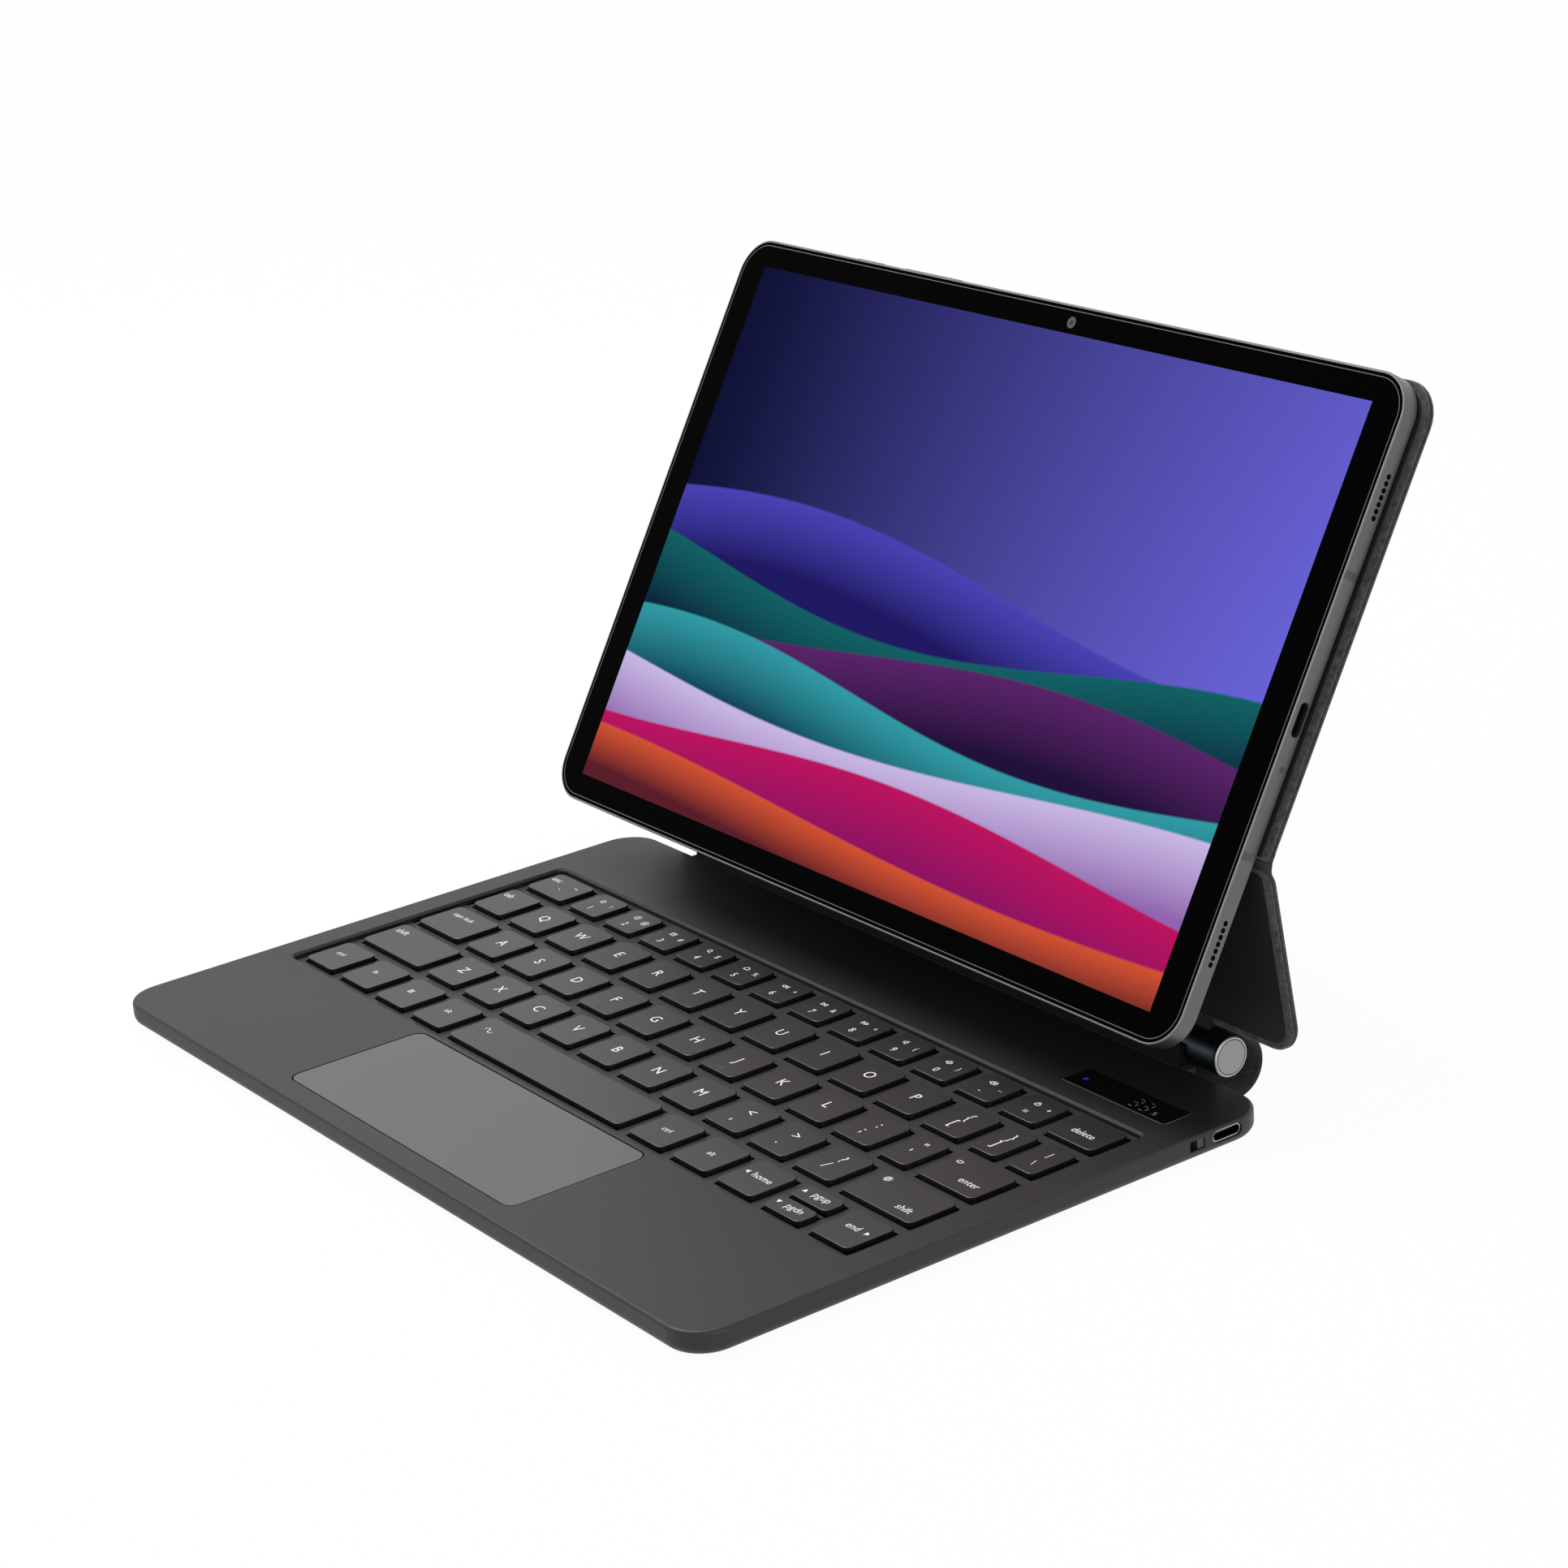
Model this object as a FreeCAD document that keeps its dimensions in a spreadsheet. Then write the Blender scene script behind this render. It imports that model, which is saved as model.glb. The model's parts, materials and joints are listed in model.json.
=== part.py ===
"""Tablet keyboard case: a keyboard base, a hinged stand and a folding screen panel with its tablet.

Frame: X to the right, Y to the rear, Z up. The origin is the middle of the base's underside.
All sizes are in millimetres and are kept in the sheet "Sizes".
"""
import FreeCAD, Part
import math
import os

import Sketcher

Vector = FreeCAD.Vector
Rotation = FreeCAD.Rotation
Constraint = Sketcher.Constraint

SIZES = [
    # keys
    ("key_pitch", 18.1),
    ("key_gap", 4.1),
    ("row_pitch", 17.4),
    ("key_depth", 14.0),
    ("top_key_depth", 12.0),
    ("arrow_gap", 1.3),
    ("bracket_width", 9.4),
    ("backslash_width", 9.3),
    ("quote_width", 10.1),
    ("caps_width", 20.4),
    ("shift_width", 29.0),
    ("esc_width", 17.4),
    ("delete_width", 16.5),
    ("key_crop", 0.7),
    ("key_height", 1.4),
    ("key_bevel", 0.25),
    ("key_recess", 0.3),
    ("key_lift_gap", 0.05),
    ("lift_width", 8.0),
    ("lift_depth", 7.0),
    ("small_lift_depth", 3.6),
    # key well
    ("key_side_gap", 2.8),
    ("key_front_gap", 2.7),
    ("key_rear_gap", 2.0),
    ("well_corner", 2.0),
    ("well_bevel", 0.6),
    # keyboard base
    ("side_margin", 8.9),
    ("palm_depth", 46.6),
    ("rear_margin", 31.1),
    ("base_thickness", 6.6),
    ("base_corner", 10.0),
    ("split_height", 3.8),
    ("deck_edge", 0.9),
    ("edge_land", 0.7),
    ("skin_thickness", 0.5),
    ("skin_margin", 0.6),
    ("floor_thickness", 1.1),
    ("cavity_inset", 4.0),
    ("fit_gap", 0.2),
    # sheets under the keys
    ("guide_thickness", 0.4),
    ("plate_thickness", 1.0),
    ("membrane_thickness", 0.3),
    ("sheet_overlap", 0.6),
    # trackpad
    ("pad_width", 102.0),
    ("pad_centre_x", -1.5),
    ("pad_front_margin", 6.6),
    ("pad_rear_margin", 2.0),
    ("pad_corner", 3.0),
    ("pad_seam", 0.4),
    ("pad_thickness", 2.2),
    ("pad_recess", 0.05),
    ("pad_board_inset", 3.0),
    ("pad_travel_gap", 0.45),
    # status window
    ("window_right_margin", 9.7),
    ("window_gap", 6.5),
    ("window_width", 36.6),
    ("window_depth", 8.7),
    ("window_thickness", 0.6),
    # charging socket and power switch in the right side
    ("side_lift", 0.5),
    ("socket_from_rear", 13.8),
    ("socket_width", 8.6),
    ("socket_height", 2.8),
    ("socket_wall", 0.32),
    ("socket_length", 7.0),
    ("socket_set_back", 0.4),
    ("socket_bore_depth", 6.0),
    ("tongue_width", 6.6),
    ("tongue_thickness", 0.7),
    ("tongue_length", 4.6),
    ("switch_spacing", 9.2),
    ("slot_length", 4.5),
    ("slot_height", 2.6),
    ("slot_depth", 2.4),
    ("knob_length", 1.9),
    ("knob_height", 2.2),
    ("knob_set_back", 0.3),
    ("foot_length", 3.4),
    ("foot_depth", 1.0),
    # battery, board and magnets
    ("cell_side_margin", 8.0),
    ("cell_rear_margin", 2.0),
    ("cell_thickness", 1.6),
    ("board_width", 64.0),
    ("board_gap", 2.6),
    ("board_margin", 3.0),
    ("board_thickness", 0.8),
    ("magnet_length", 18.0),
    ("magnet_width", 4.0),
    ("magnet_thickness", 1.2),
    ("magnet_inset", 28.0),
    ("magnet_margin", 0.5),
    # hinge along the rear edge
    ("barrel_radius", 5.1),
    ("barrel_wall", 0.9),
    ("barrel_inset", 19.5),
    ("barrel_gap", 0.95),
    ("hinge_lift", 2.3),
    ("cap_thickness", 1.2),
    ("cap_spigot", 3.0),
    ("cap_bevel", 0.3),
    ("pin_radius", 1.5),
    ("pin_running_gap", 0.05),
    ("plug_gap", 0.08),
    ("knuckle_gap", 0.9),
    ("knuckle_inset", 13.5),
    ("knuckle_length", 12.0),
    ("knuckle_side_gap", 0.6),
    ("support_length", 4.0),
    ("arm_thickness", 1.2),
    ("arm_slot_width", 5.6),
    ("arm_slot_angle", 82.0),
    ("saddle_inset", 10.9),
    ("saddle_notch", 1.2),
    ("saddle_rise", 1.8),
    ("saddle_back", 2.0),
    ("saddle_foot", 2.6),
    ("saddle_lip", 0.1),
    ("saddle_crest", 0.2),
    ("seat_gap", 0.15),
    # spine cloth behind the barrel
    ("spine_overhang", 1.5),
    ("spine_gap", 1.9),
    ("spine_back", 0.6),
    ("spine_thickness", 1.3),
    ("spine_sweep", 146.0),
    ("spine_tuck", 0.5),
    # stand and screen panels
    ("stand_length", 54.2),
    ("stand_offset", 4.7),
    ("stand_lean", 8.0),
    ("screen_tilt", 30.2),
    ("stand_margin", 2.0),
    ("stand_foot_gap", 0.1),
    ("stand_corner", 8.0),
    ("panel_margin", 1.5),
    ("panel_overhang", 0.3),
    ("panel_corner", 10.0),
    ("fold_gap", 0.7),
    ("cloth_thickness", 0.6),
    ("card_thickness", 1.4),
    ("lining_thickness", 0.6),
    ("card_inset", 1.2),
    ("leaf_overhang", 2.0),
    ("leaf_inset", 2.5),
    ("leaf_depth", 14.5),
    ("leaf_thickness", 0.8),
    ("arm_notch", 4.2),
    ("camera_inset", 30.5),
    ("camera_drop", 23.2),
    ("camera_side_gap", 3.5),
    ("camera_end_gap", 4.0),
    ("hold_magnet_length", 22.0),
    ("hold_magnet_width", 8.0),
    ("hold_magnet_pitch", 40.0),
    ("hold_magnet_low", 22.0),
    # tablet
    ("tablet_width", 258.0),
    ("tablet_height", 163.0),
    ("tablet_thickness", 5.2),
    ("tablet_corner", 10.0),
    ("tablet_below_fold", 48.1),
    ("tablet_gap", 0.3),
    ("tablet_bevel", 0.8),
    ("rim_bevel", 0.25),
    ("glass_inset", 0.6),
    ("glass_thickness", 0.6),
    ("glass_gap", 0.05),
    ("bezel_side", 10.55),
    ("bezel_end", 7.45),
    ("screen_thickness", 0.2),
    ("port_length", 8.4),
    ("port_height", 2.6),
    ("port_depth", 3.0),
    ("lens_radius", 4.5),
    ("lens_height", 0.8),
    ("lens_pitch", 13.0),
    ("edge_key_thickness", 1.6),
    ("edge_key_out", 0.4),
    ("edge_key_in", 0.4),
    ("edge_key_gap", 0.12),
    ("edge_key_well", 0.8),
    ("power_inset", 52.2),
    ("power_length", 11.4),
    ("volume_inset", 79.2),
    ("volume_length", 23.7),
]

doc = FreeCAD.newDocument("TabletKeyboardCase")
sheet = doc.addObject("Spreadsheet::Sheet", "Sizes")
for row_number, (alias, number) in enumerate(SIZES, start=1):
    sheet.set("A%d" % row_number, alias)
    sheet.set("B%d" % row_number, str(number))
    sheet.setAlias("B%d" % row_number, alias)
doc.recompute()

finished = []


def named(text):
    """Writes a formula of plain size names as an expression that reads the sheet."""
    words = []
    word = ""
    for letter in text + " ":
        if letter.isalnum() or letter == "_":
            word += letter
            continue
        words.append("Sizes." + word if word in KNOWN else word)
        words.append(letter)
        word = ""
    return "".join(words).strip()


KNOWN = {alias for alias, number in SIZES}


def value(text):
    """The number that a formula of size names gives now."""
    result = sheet.evalExpression(named(text))
    return float(getattr(result, "Value", result))


# Places that several pieces share, as formulas of the sizes.
KEY_WIDTH = "(key_pitch - key_gap)"
KEY_BLOCK = "(12 * key_pitch + bracket_width + key_gap + backslash_width)"
BLOCK_LEFT = "(-%s / 2)" % KEY_BLOCK
BLOCK_RIGHT = "(%s / 2)" % KEY_BLOCK
TOP_PITCH = "((%s - esc_width - delete_width - key_gap) / 12)" % KEY_BLOCK
WELL_WIDTH = "(%s + 2 * key_side_gap)" % KEY_BLOCK
WELL_DEPTH = "(key_front_gap + 4 * row_pitch + top_key_depth + key_rear_gap)"
BASE_WIDTH = "(%s + 2 * side_margin)" % WELL_WIDTH
BASE_DEPTH = "(palm_depth + %s + rear_margin)" % WELL_DEPTH
BASE_RIGHT = "(%s / 2)" % BASE_WIDTH
BASE_REAR = "(%s / 2)" % BASE_DEPTH
WELL_FRONT = "(palm_depth - %s)" % BASE_REAR
WELL_MIDDLE = "(%s + %s / 2)" % (WELL_FRONT, WELL_DEPTH)
WELL_REAR = "(%s + %s)" % (WELL_FRONT, WELL_DEPTH)
SHELL_EDGE = "(split_height - skin_thickness - edge_land)"
SKIN_INSET = "(%s + skin_margin)" % SHELL_EDGE
SHELL_FLOOR = "(skin_thickness + floor_thickness)"
GUIDE_TOP = "(%s + guide_thickness)" % SHELL_FLOOR
PLATE_TOP = "(%s + plate_thickness)" % GUIDE_TOP
MEMBRANE_TOP = "(%s + membrane_thickness)" % PLATE_TOP
KEY_TOP = "(base_thickness - key_recess)"
KEY_BOTTOM = "(%s - key_height)" % KEY_TOP
PAD_DEPTH = "(palm_depth - pad_front_margin - pad_rear_margin)"
PAD_MIDDLE = "(pad_front_margin + %s / 2 - %s)" % (PAD_DEPTH, BASE_REAR)
WINDOW_LEFT = "(%s - window_right_margin - window_width)" % BASE_RIGHT
WINDOW_FRONT = "(%s + window_gap)" % WELL_REAR
SIDE_Z = "(split_height + side_lift)"
SOCKET_Y = "(%s - socket_from_rear)" % BASE_REAR
SWITCH_Y = "(%s - switch_spacing)" % SOCKET_Y
BARREL_BORE = "(barrel_radius - barrel_wall)"
BARREL_HALF = "(tablet_width / 2 + stand_margin - barrel_inset)"
TUBE_HALF = "(%s - cap_thickness)" % BARREL_HALF
KNUCKLE_MIDDLE = "(%s - knuckle_inset)" % BARREL_HALF
KNUCKLE_RADIUS = "(%s - knuckle_gap)" % BARREL_BORE
SADDLE_HALF = "(%s - saddle_inset)" % BARREL_HALF
SADDLE_FOOT_HALF = "(%s + saddle_foot)" % SADDLE_HALF
SPINE_RADIUS = "(barrel_radius + spine_gap + spine_thickness)"
HINGE_Y = "(%s + barrel_gap + barrel_radius)" % BASE_REAR
HINGE_Z = "(%s + hinge_lift)" % SPINE_RADIUS
LEAN = "(stand_lean * 1 deg)"
FOLD_Y = "(%s - stand_length * sin%s + stand_offset * cos%s)" % (HINGE_Y, LEAN, LEAN)
FOLD_Z = "(%s + stand_length * cos%s + stand_offset * sin%s)" % (HINGE_Z, LEAN, LEAN)
CARD_TOP = "(cloth_thickness + card_thickness)"
PANEL_THICKNESS = "(%s + lining_thickness)" % CARD_TOP
STAND_HALF = "(tablet_width / 2 + stand_margin)"
STAND_FOOT = "(stand_length - barrel_radius - stand_foot_gap)"
LEAF_LOW = "(%s - leaf_inset)" % STAND_FOOT
LEAF_HALF = "(%s + knuckle_length / 2 + leaf_overhang)" % KNUCKLE_MIDDLE
PANEL_HALF = "(tablet_width / 2 + panel_margin)"
PANEL_TOP = "(tablet_height - tablet_below_fold + panel_overhang)"
CAMERA_X = "(camera_inset - %s)" % PANEL_HALF
CAMERA_UP = "(%s - camera_drop)" % PANEL_TOP
CAMERA_WIDTH = "(2 * lens_radius + 2 * camera_side_gap)"
CAMERA_HEIGHT = "(lens_pitch + 2 * lens_radius + 2 * camera_end_gap)"
TABLET_BACK = "(%s + tablet_gap)" % PANEL_THICKNESS
TABLET_FRONT = "(%s + tablet_thickness)" % TABLET_BACK
TABLET_MIDDLE = "(tablet_height / 2 - tablet_below_fold)"
TABLET_TOP = "(tablet_height - tablet_below_fold)"
EDGE_KEY_LOW = "(%s + tablet_thickness / 2 - edge_key_thickness / 2)" % TABLET_BACK
EDGE_KEYS = [
    ("tablet_power_key", "(power_inset - tablet_width / 2)", "power_length"),
    ("tablet_volume_key", "(volume_inset - tablet_width / 2)", "volume_length"),
]


def bind(piece, **formulas):
    """Binds properties, given with double underscores for dots, to formulas of sizes."""
    for name, text in formulas.items():
        piece.setExpression(name.replace("__", "."), named(text))


def place(piece, x="0", y="0", z="0"):
    bind(piece, Placement__Base__x=x, Placement__Base__y=y, Placement__Base__z=z)


def place_on_stand(piece):
    """Lower panel frame: X along the fold, Y up the panel, Z out of its inner face."""
    turn = Rotation(Vector(1, 0, 0), 90 + value("stand_lean"))
    piece.Placement = FreeCAD.Placement(Vector(0, 0, 0), turn)
    place(piece, "0", FOLD_Y, FOLD_Z)


def place_on_screen_panel(piece):
    """Upper panel frame: the same, tilted back by the screen's tilt."""
    turn = Rotation(Vector(1, 0, 0), 90 - value("screen_tilt"))
    piece.Placement = FreeCAD.Placement(Vector(0, 0, 0), turn)
    place(piece, "0", FOLD_Y, FOLD_Z)


def new_body(label, several=False):
    body = doc.addObject("PartDesign::Body", label)
    body.Label = label
    body.AllowCompound = several
    return body


def finish(piece, label):
    piece.Label = label
    finished.append((piece, label))
    return piece


def plane_of(body, role):
    return [feature for feature in body.Origin.OriginFeatures if feature.Role == role][0]


def new_sketch(body, role, x, y, height):
    sketch = body.newObject("Sketcher::SketchObject", "Sketch")
    sketch.AttachmentSupport = [(plane_of(body, role), "")]
    sketch.MapMode = "FlatFace"
    bind(sketch, AttachmentOffset__Base__x=x, AttachmentOffset__Base__y=y, AttachmentOffset__Base__z=height)
    return sketch


def rounded_rectangle(body, width, depth, radius, x="0", y="0", height="0", role="XY_Plane"):
    """A sketch of a rectangle with round corners, centred on x, y at a height above its plane."""
    sketch = new_sketch(body, role, x, y, height)
    r = value(radius)
    right = value(width) / 2
    rear = value(depth) / 2
    corners = [(right - r, r - rear), (right - r, rear - r), (r - right, rear - r), (r - right, r - rear)]
    sides = [
        ((r - right, -rear), (right - r, -rear)),
        ((right, r - rear), (right, rear - r)),
        ((right - r, rear), (r - right, rear)),
        ((-right, rear - r), (-right, r - rear)),
    ]
    for start, end in sides:
        sketch.addGeometry(Part.LineSegment(Vector(*start, 0), Vector(*end, 0)), False)
    for turn, centre in enumerate(corners):
        circle = Part.Circle(Vector(*centre, 0), Vector(0, 0, 1), r)
        first = (turn - 1) * math.pi / 2
        sketch.addGeometry(Part.ArcOfCircle(circle, first, first + math.pi / 2), False)
    for side in range(4):
        corner = 4 + side
        sketch.addConstraint(Constraint("Tangent", side, 2, corner, 1))
        sketch.addConstraint(Constraint("Tangent", corner, 2, (side + 1) % 4, 1))
        sketch.addConstraint(Constraint("Horizontal" if side % 2 == 0 else "Vertical", side))
    for corner in range(4, 7):
        sketch.addConstraint(Constraint("Equal", corner, corner + 1))
    sketch.addConstraint(Constraint("Symmetric", 7, 3, 5, 3, -1, 1))
    limits = [
        ("inner_width", Constraint("DistanceX", 7, 3, 4, 3, 2 * (right - r)), "%s - 2 * %s" % (width, radius)),
        ("inner_depth", Constraint("DistanceY", 4, 3, 5, 3, 2 * (rear - r)), "%s - 2 * %s" % (depth, radius)),
        ("corner", Constraint("Radius", 4, r), radius),
    ]
    for name, constraint, text in limits:
        index = sketch.addConstraint(constraint)
        sketch.renameConstraint(index, name)
        sketch.setExpression("Constraints." + name, named(text))
    return sketch


def outline(body, points, role, x="0", y="0", height="0"):
    """A sketch of straight sides through points given as pairs of formulas."""
    sketch = new_sketch(body, role, x, y, height)
    places = [Vector(value(x), value(y), 0) for x, y in points]
    count = len(places)
    for index, start in enumerate(places):
        sketch.addGeometry(Part.LineSegment(start, places[(index + 1) % count]), False)
    for index in range(count):
        sketch.addConstraint(Constraint("Coincident", index, 2, (index + 1) % count, 1))
    for index, (x, y) in enumerate(points):
        for axis, text in (("X", x), ("Y", y)):
            number = sketch.addConstraint(Constraint("Distance" + axis, index, 1, value(text)))
            name = "point%d%s" % (index, axis)
            sketch.renameConstraint(number, name)
            sketch.setExpression("Constraints." + name, named(text))
    return sketch


def pad(body, sketch, length, midplane=False):
    feature = body.newObject("PartDesign::Pad", "Pad")
    feature.Profile = sketch
    feature.Midplane = midplane
    bind(feature, Length=length)
    doc.recompute()
    return feature


def pocket(body, sketch, length, upward=False):
    """Cuts a sketch's outline into the body, by default down from the sketch's plane."""
    before = body.Shape.Volume
    feature = body.newObject("PartDesign::Pocket", "Pocket")
    feature.Profile = sketch
    feature.Reversed = upward
    bind(feature, Length=length)
    doc.recompute()
    if not feature.Shape.Volume < before:
        raise RuntimeError("a pocket in %s cuts nothing" % body.Label)
    return feature


def face_at(feature, direction):
    """The name of the face whose middle lies furthest along a direction."""
    reach = [face.CenterOfMass.dot(direction) for face in feature.Shape.Faces]
    return "Face%d" % (reach.index(max(reach)) + 1)


def dress_face_edges(body, feature, direction, kind, size):
    """Rounds or bevels all edges of the face that lies furthest along a direction."""
    dressing = body.newObject("PartDesign::" + kind, kind)
    dressing.Base = (feature, [face_at(feature, direction)])
    dressing.setExpression("Radius" if kind == "Fillet" else "Size", named(size))
    doc.recompute()
    return dressing


def bevel_edges_at(body, feature, height, inside, size):
    """Bevels the edges that lie at a height with their middles inside a rectangle."""
    names = []
    for index, edge in enumerate(feature.Shape.Edges, start=1):
        box = edge.BoundBox
        level = abs(box.ZMin - height) < 1e-4 and abs(box.ZMax - height) < 1e-4
        centre = box.Center
        if level and abs(centre.x) <= inside[0] and inside[1] <= centre.y <= inside[2]:
            names.append("Edge%d" % index)
    chamfer = body.newObject("PartDesign::Chamfer", "Chamfer")
    chamfer.Base = (feature, names)
    bind(chamfer, Size=size)
    doc.recompute()
    return chamfer


def plate(label, width, depth, thickness, radius, x="0", y="0", z="0", several=False):
    """A flat plate with round corners that stands on height z."""
    body = new_body(label, several)
    pad(body, rounded_rectangle(body, width, depth, radius, x, y, z), thickness)
    return body


def cut_box(body, x, y, z, length, width, height):
    """Cuts a box, given by its lowest corner and its size, out of a body."""
    before = body.Shape.Volume
    tool = body.newObject("PartDesign::SubtractiveBox", "Box")
    bind(tool, Length=length, Width=width, Height=height)
    place(tool, x, y, z)
    doc.recompute()
    if not tool.Shape.Volume < before:
        raise RuntimeError("a box in %s cuts nothing" % body.Label)
    return tool


def add_box(body, x, y, z, length, width, height):
    tool = body.newObject("PartDesign::AdditiveBox", "Box")
    bind(tool, Length=length, Width=width, Height=height)
    place(tool, x, y, z)
    doc.recompute()
    return tool


def solid_box(x, y, z, length, width, height):
    tool = doc.addObject("Part::Box", "Box")
    bind(tool, Length=length, Width=width, Height=height)
    place(tool, x, y, z)
    return tool


def rod(radius, length, x, y=HINGE_Y, z=HINGE_Z):
    """A round bar along X that starts at x."""
    tool = doc.addObject("Part::Cylinder", "Rod")
    tool.Placement = FreeCAD.Placement(Vector(0, 0, 0), Rotation(Vector(0, 1, 0), 90))
    bind(tool, Radius=radius, Height=length)
    place(tool, x, y, z)
    return tool


def cut(base, tool):
    result = doc.addObject("Part::Cut", "Cut")
    result.Base = base
    result.Tool = tool
    return result


def join(pieces, together=True):
    result = doc.addObject("Part::MultiFuse" if together else "Part::Compound", "Group")
    setattr(result, "Shapes" if together else "Links", pieces)
    return result


# Keyboard base

def underside_skin():
    """The flat covering that the base rests on."""
    skin = plate("underside_skin", "(%s - 2 * %s)" % (BASE_WIDTH, SKIN_INSET),
                 "(%s - 2 * %s)" % (BASE_DEPTH, SKIN_INSET), "skin_thickness", "(base_corner - %s)" % SKIN_INSET)
    finish(skin, "underside_skin")


def side_openings(body):
    """Cuts the charging socket's and the power switch's openings through the right side."""
    socket = rounded_rectangle(
        body, "(socket_width + 2 * fit_gap)", "(socket_height + 2 * fit_gap)",
        "(socket_height / 2 + fit_gap - 0.01)", SOCKET_Y, SIDE_Z, BASE_RIGHT + " + 1", "YZ_Plane")
    pocket(body, socket, "socket_length + socket_set_back + fit_gap + 1")
    cut_box(body, BASE_RIGHT + " - slot_depth", SWITCH_Y + " - slot_length / 2", SIDE_Z + " - slot_height / 2",
            "slot_depth + 1", "slot_length", "slot_height")
    side_room = "(foot_length - knob_length + fit_gap)"
    cut_box(body, BASE_RIGHT + " - slot_depth - foot_depth - 2 * fit_gap",
            "%s - slot_length / 2 - %s" % (SWITCH_Y, side_room), SIDE_Z + " - slot_height / 2 - 2 * fit_gap",
            "foot_depth + 2 * fit_gap", "slot_length + 2 * " + side_room, "slot_height + 4 * fit_gap")


def bottom_shell():
    """The tray that holds the electronics, with its rounded lower edge."""
    body = new_body("bottom_shell")
    slab = pad(body, rounded_rectangle(body, BASE_WIDTH, BASE_DEPTH, "base_corner", height="skin_thickness"),
               "split_height - skin_thickness")
    dress_face_edges(body, slab, Vector(0, 0, -1), "Fillet", SHELL_EDGE)
    cavity = rounded_rectangle(
        body, "(%s - 2 * cavity_inset)" % BASE_WIDTH, "(%s - 2 * cavity_inset)" % BASE_DEPTH,
        "(base_corner - cavity_inset)", height="split_height")
    pocket(body, cavity, "split_height - " + SHELL_FLOOR)
    side_openings(body)
    finish(body, "bottom_shell")


def top_deck():
    """The upper cover: rounded edge, key well, trackpad opening, window recess and hinge notch."""
    body = new_body("top_deck")
    slab = pad(body, rounded_rectangle(body, BASE_WIDTH, BASE_DEPTH, "base_corner", height="split_height"),
               "base_thickness - split_height")
    dress_face_edges(body, slab, Vector(0, 0, 1), "Fillet", "deck_edge")
    well = rounded_rectangle(body, WELL_WIDTH, WELL_DEPTH, "well_corner", y=WELL_MIDDLE, height="base_thickness")
    cut_well = pocket(body, well, "base_thickness")
    inside = (value(WELL_WIDTH + " / 2 + 1"), value(WELL_FRONT + " - 1"), value(WELL_REAR + " + 1"))
    bevel_edges_at(body, cut_well, value("base_thickness"), inside, "well_bevel")
    opening = rounded_rectangle(
        body, "(pad_width + 2 * pad_seam)", "(%s + 2 * pad_seam)" % PAD_DEPTH, "(pad_corner + pad_seam)",
        "pad_centre_x", PAD_MIDDLE, "base_thickness")
    pocket(body, opening, "base_thickness")
    cut_box(body, WINDOW_LEFT + " - fit_gap / 2", WINDOW_FRONT + " - fit_gap / 2",
            "base_thickness - window_thickness - fit_gap / 4", "window_width + fit_gap", "window_depth + fit_gap",
            "window_thickness + 1")
    cut_box(body, "-%s - fit_gap" % SADDLE_FOOT_HALF, BASE_REAR + " - saddle_notch", "split_height",
            "2 * (%s + fit_gap)" % SADDLE_FOOT_HALF, "saddle_notch + 1", "base_thickness")
    side_openings(body)
    finish(body, "top_deck")


def sheets_under_keys():
    """Light guide, steel plate and switch membrane, stacked on the tray's floor."""
    stack = [
        ("light_guide", SHELL_FLOOR, "guide_thickness"),
        ("key_plate", GUIDE_TOP, "plate_thickness"),
        ("switch_membrane", PLATE_TOP, "membrane_thickness"),
    ]
    for label, height, thickness in stack:
        film = solid_box("-%s / 2 - sheet_overlap" % WELL_WIDTH, WELL_FRONT + " - sheet_overlap", height,
                         WELL_WIDTH + " + 2 * sheet_overlap", WELL_DEPTH + " + 2 * sheet_overlap", thickness)
        finish(film, label)


def battery_cells():
    """A flat cell on each side of the trackpad."""
    inner = "(pad_width / 2 - pad_centre_x + cell_side_margin)"
    width = "(%s - cavity_inset - cell_side_margin - %s)" % (BASE_RIGHT, inner)
    front = "(cavity_inset + 2 * magnet_margin + magnet_width - %s)" % BASE_REAR
    depth = "(%s - sheet_overlap - cell_rear_margin - %s)" % (WELL_FRONT, front)
    cells = [
        solid_box(x, front, SHELL_FLOOR, width, depth, "cell_thickness")
        for x in ("-%s - %s" % (inner, width), inner)
    ]
    finish(join(cells, False), "battery_cells")


def main_board():
    """The circuit board behind the keys, beside the charging socket."""
    right = "(%s - socket_set_back - socket_length - board_gap)" % BASE_RIGHT
    front = "(%s + sheet_overlap + board_margin)" % WELL_REAR
    board = solid_box(right + " - board_width", front, SHELL_FLOOR, "board_width",
                      "%s - cavity_inset - board_margin - %s" % (BASE_REAR, front), "board_thickness")
    finish(board, "main_board")


def closing_magnets():
    """Three magnets near the front edge that hold the case shut."""
    reach = "(%s - magnet_inset)" % BASE_RIGHT
    magnets = [
        solid_box("%s - magnet_length / 2" % middle, "cavity_inset + magnet_margin - " + BASE_REAR, SHELL_FLOOR,
                  "magnet_length", "magnet_width", "magnet_thickness")
        for middle in ("-" + reach, "0", reach)
    ]
    finish(join(magnets, False), "closing_magnets")


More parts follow.
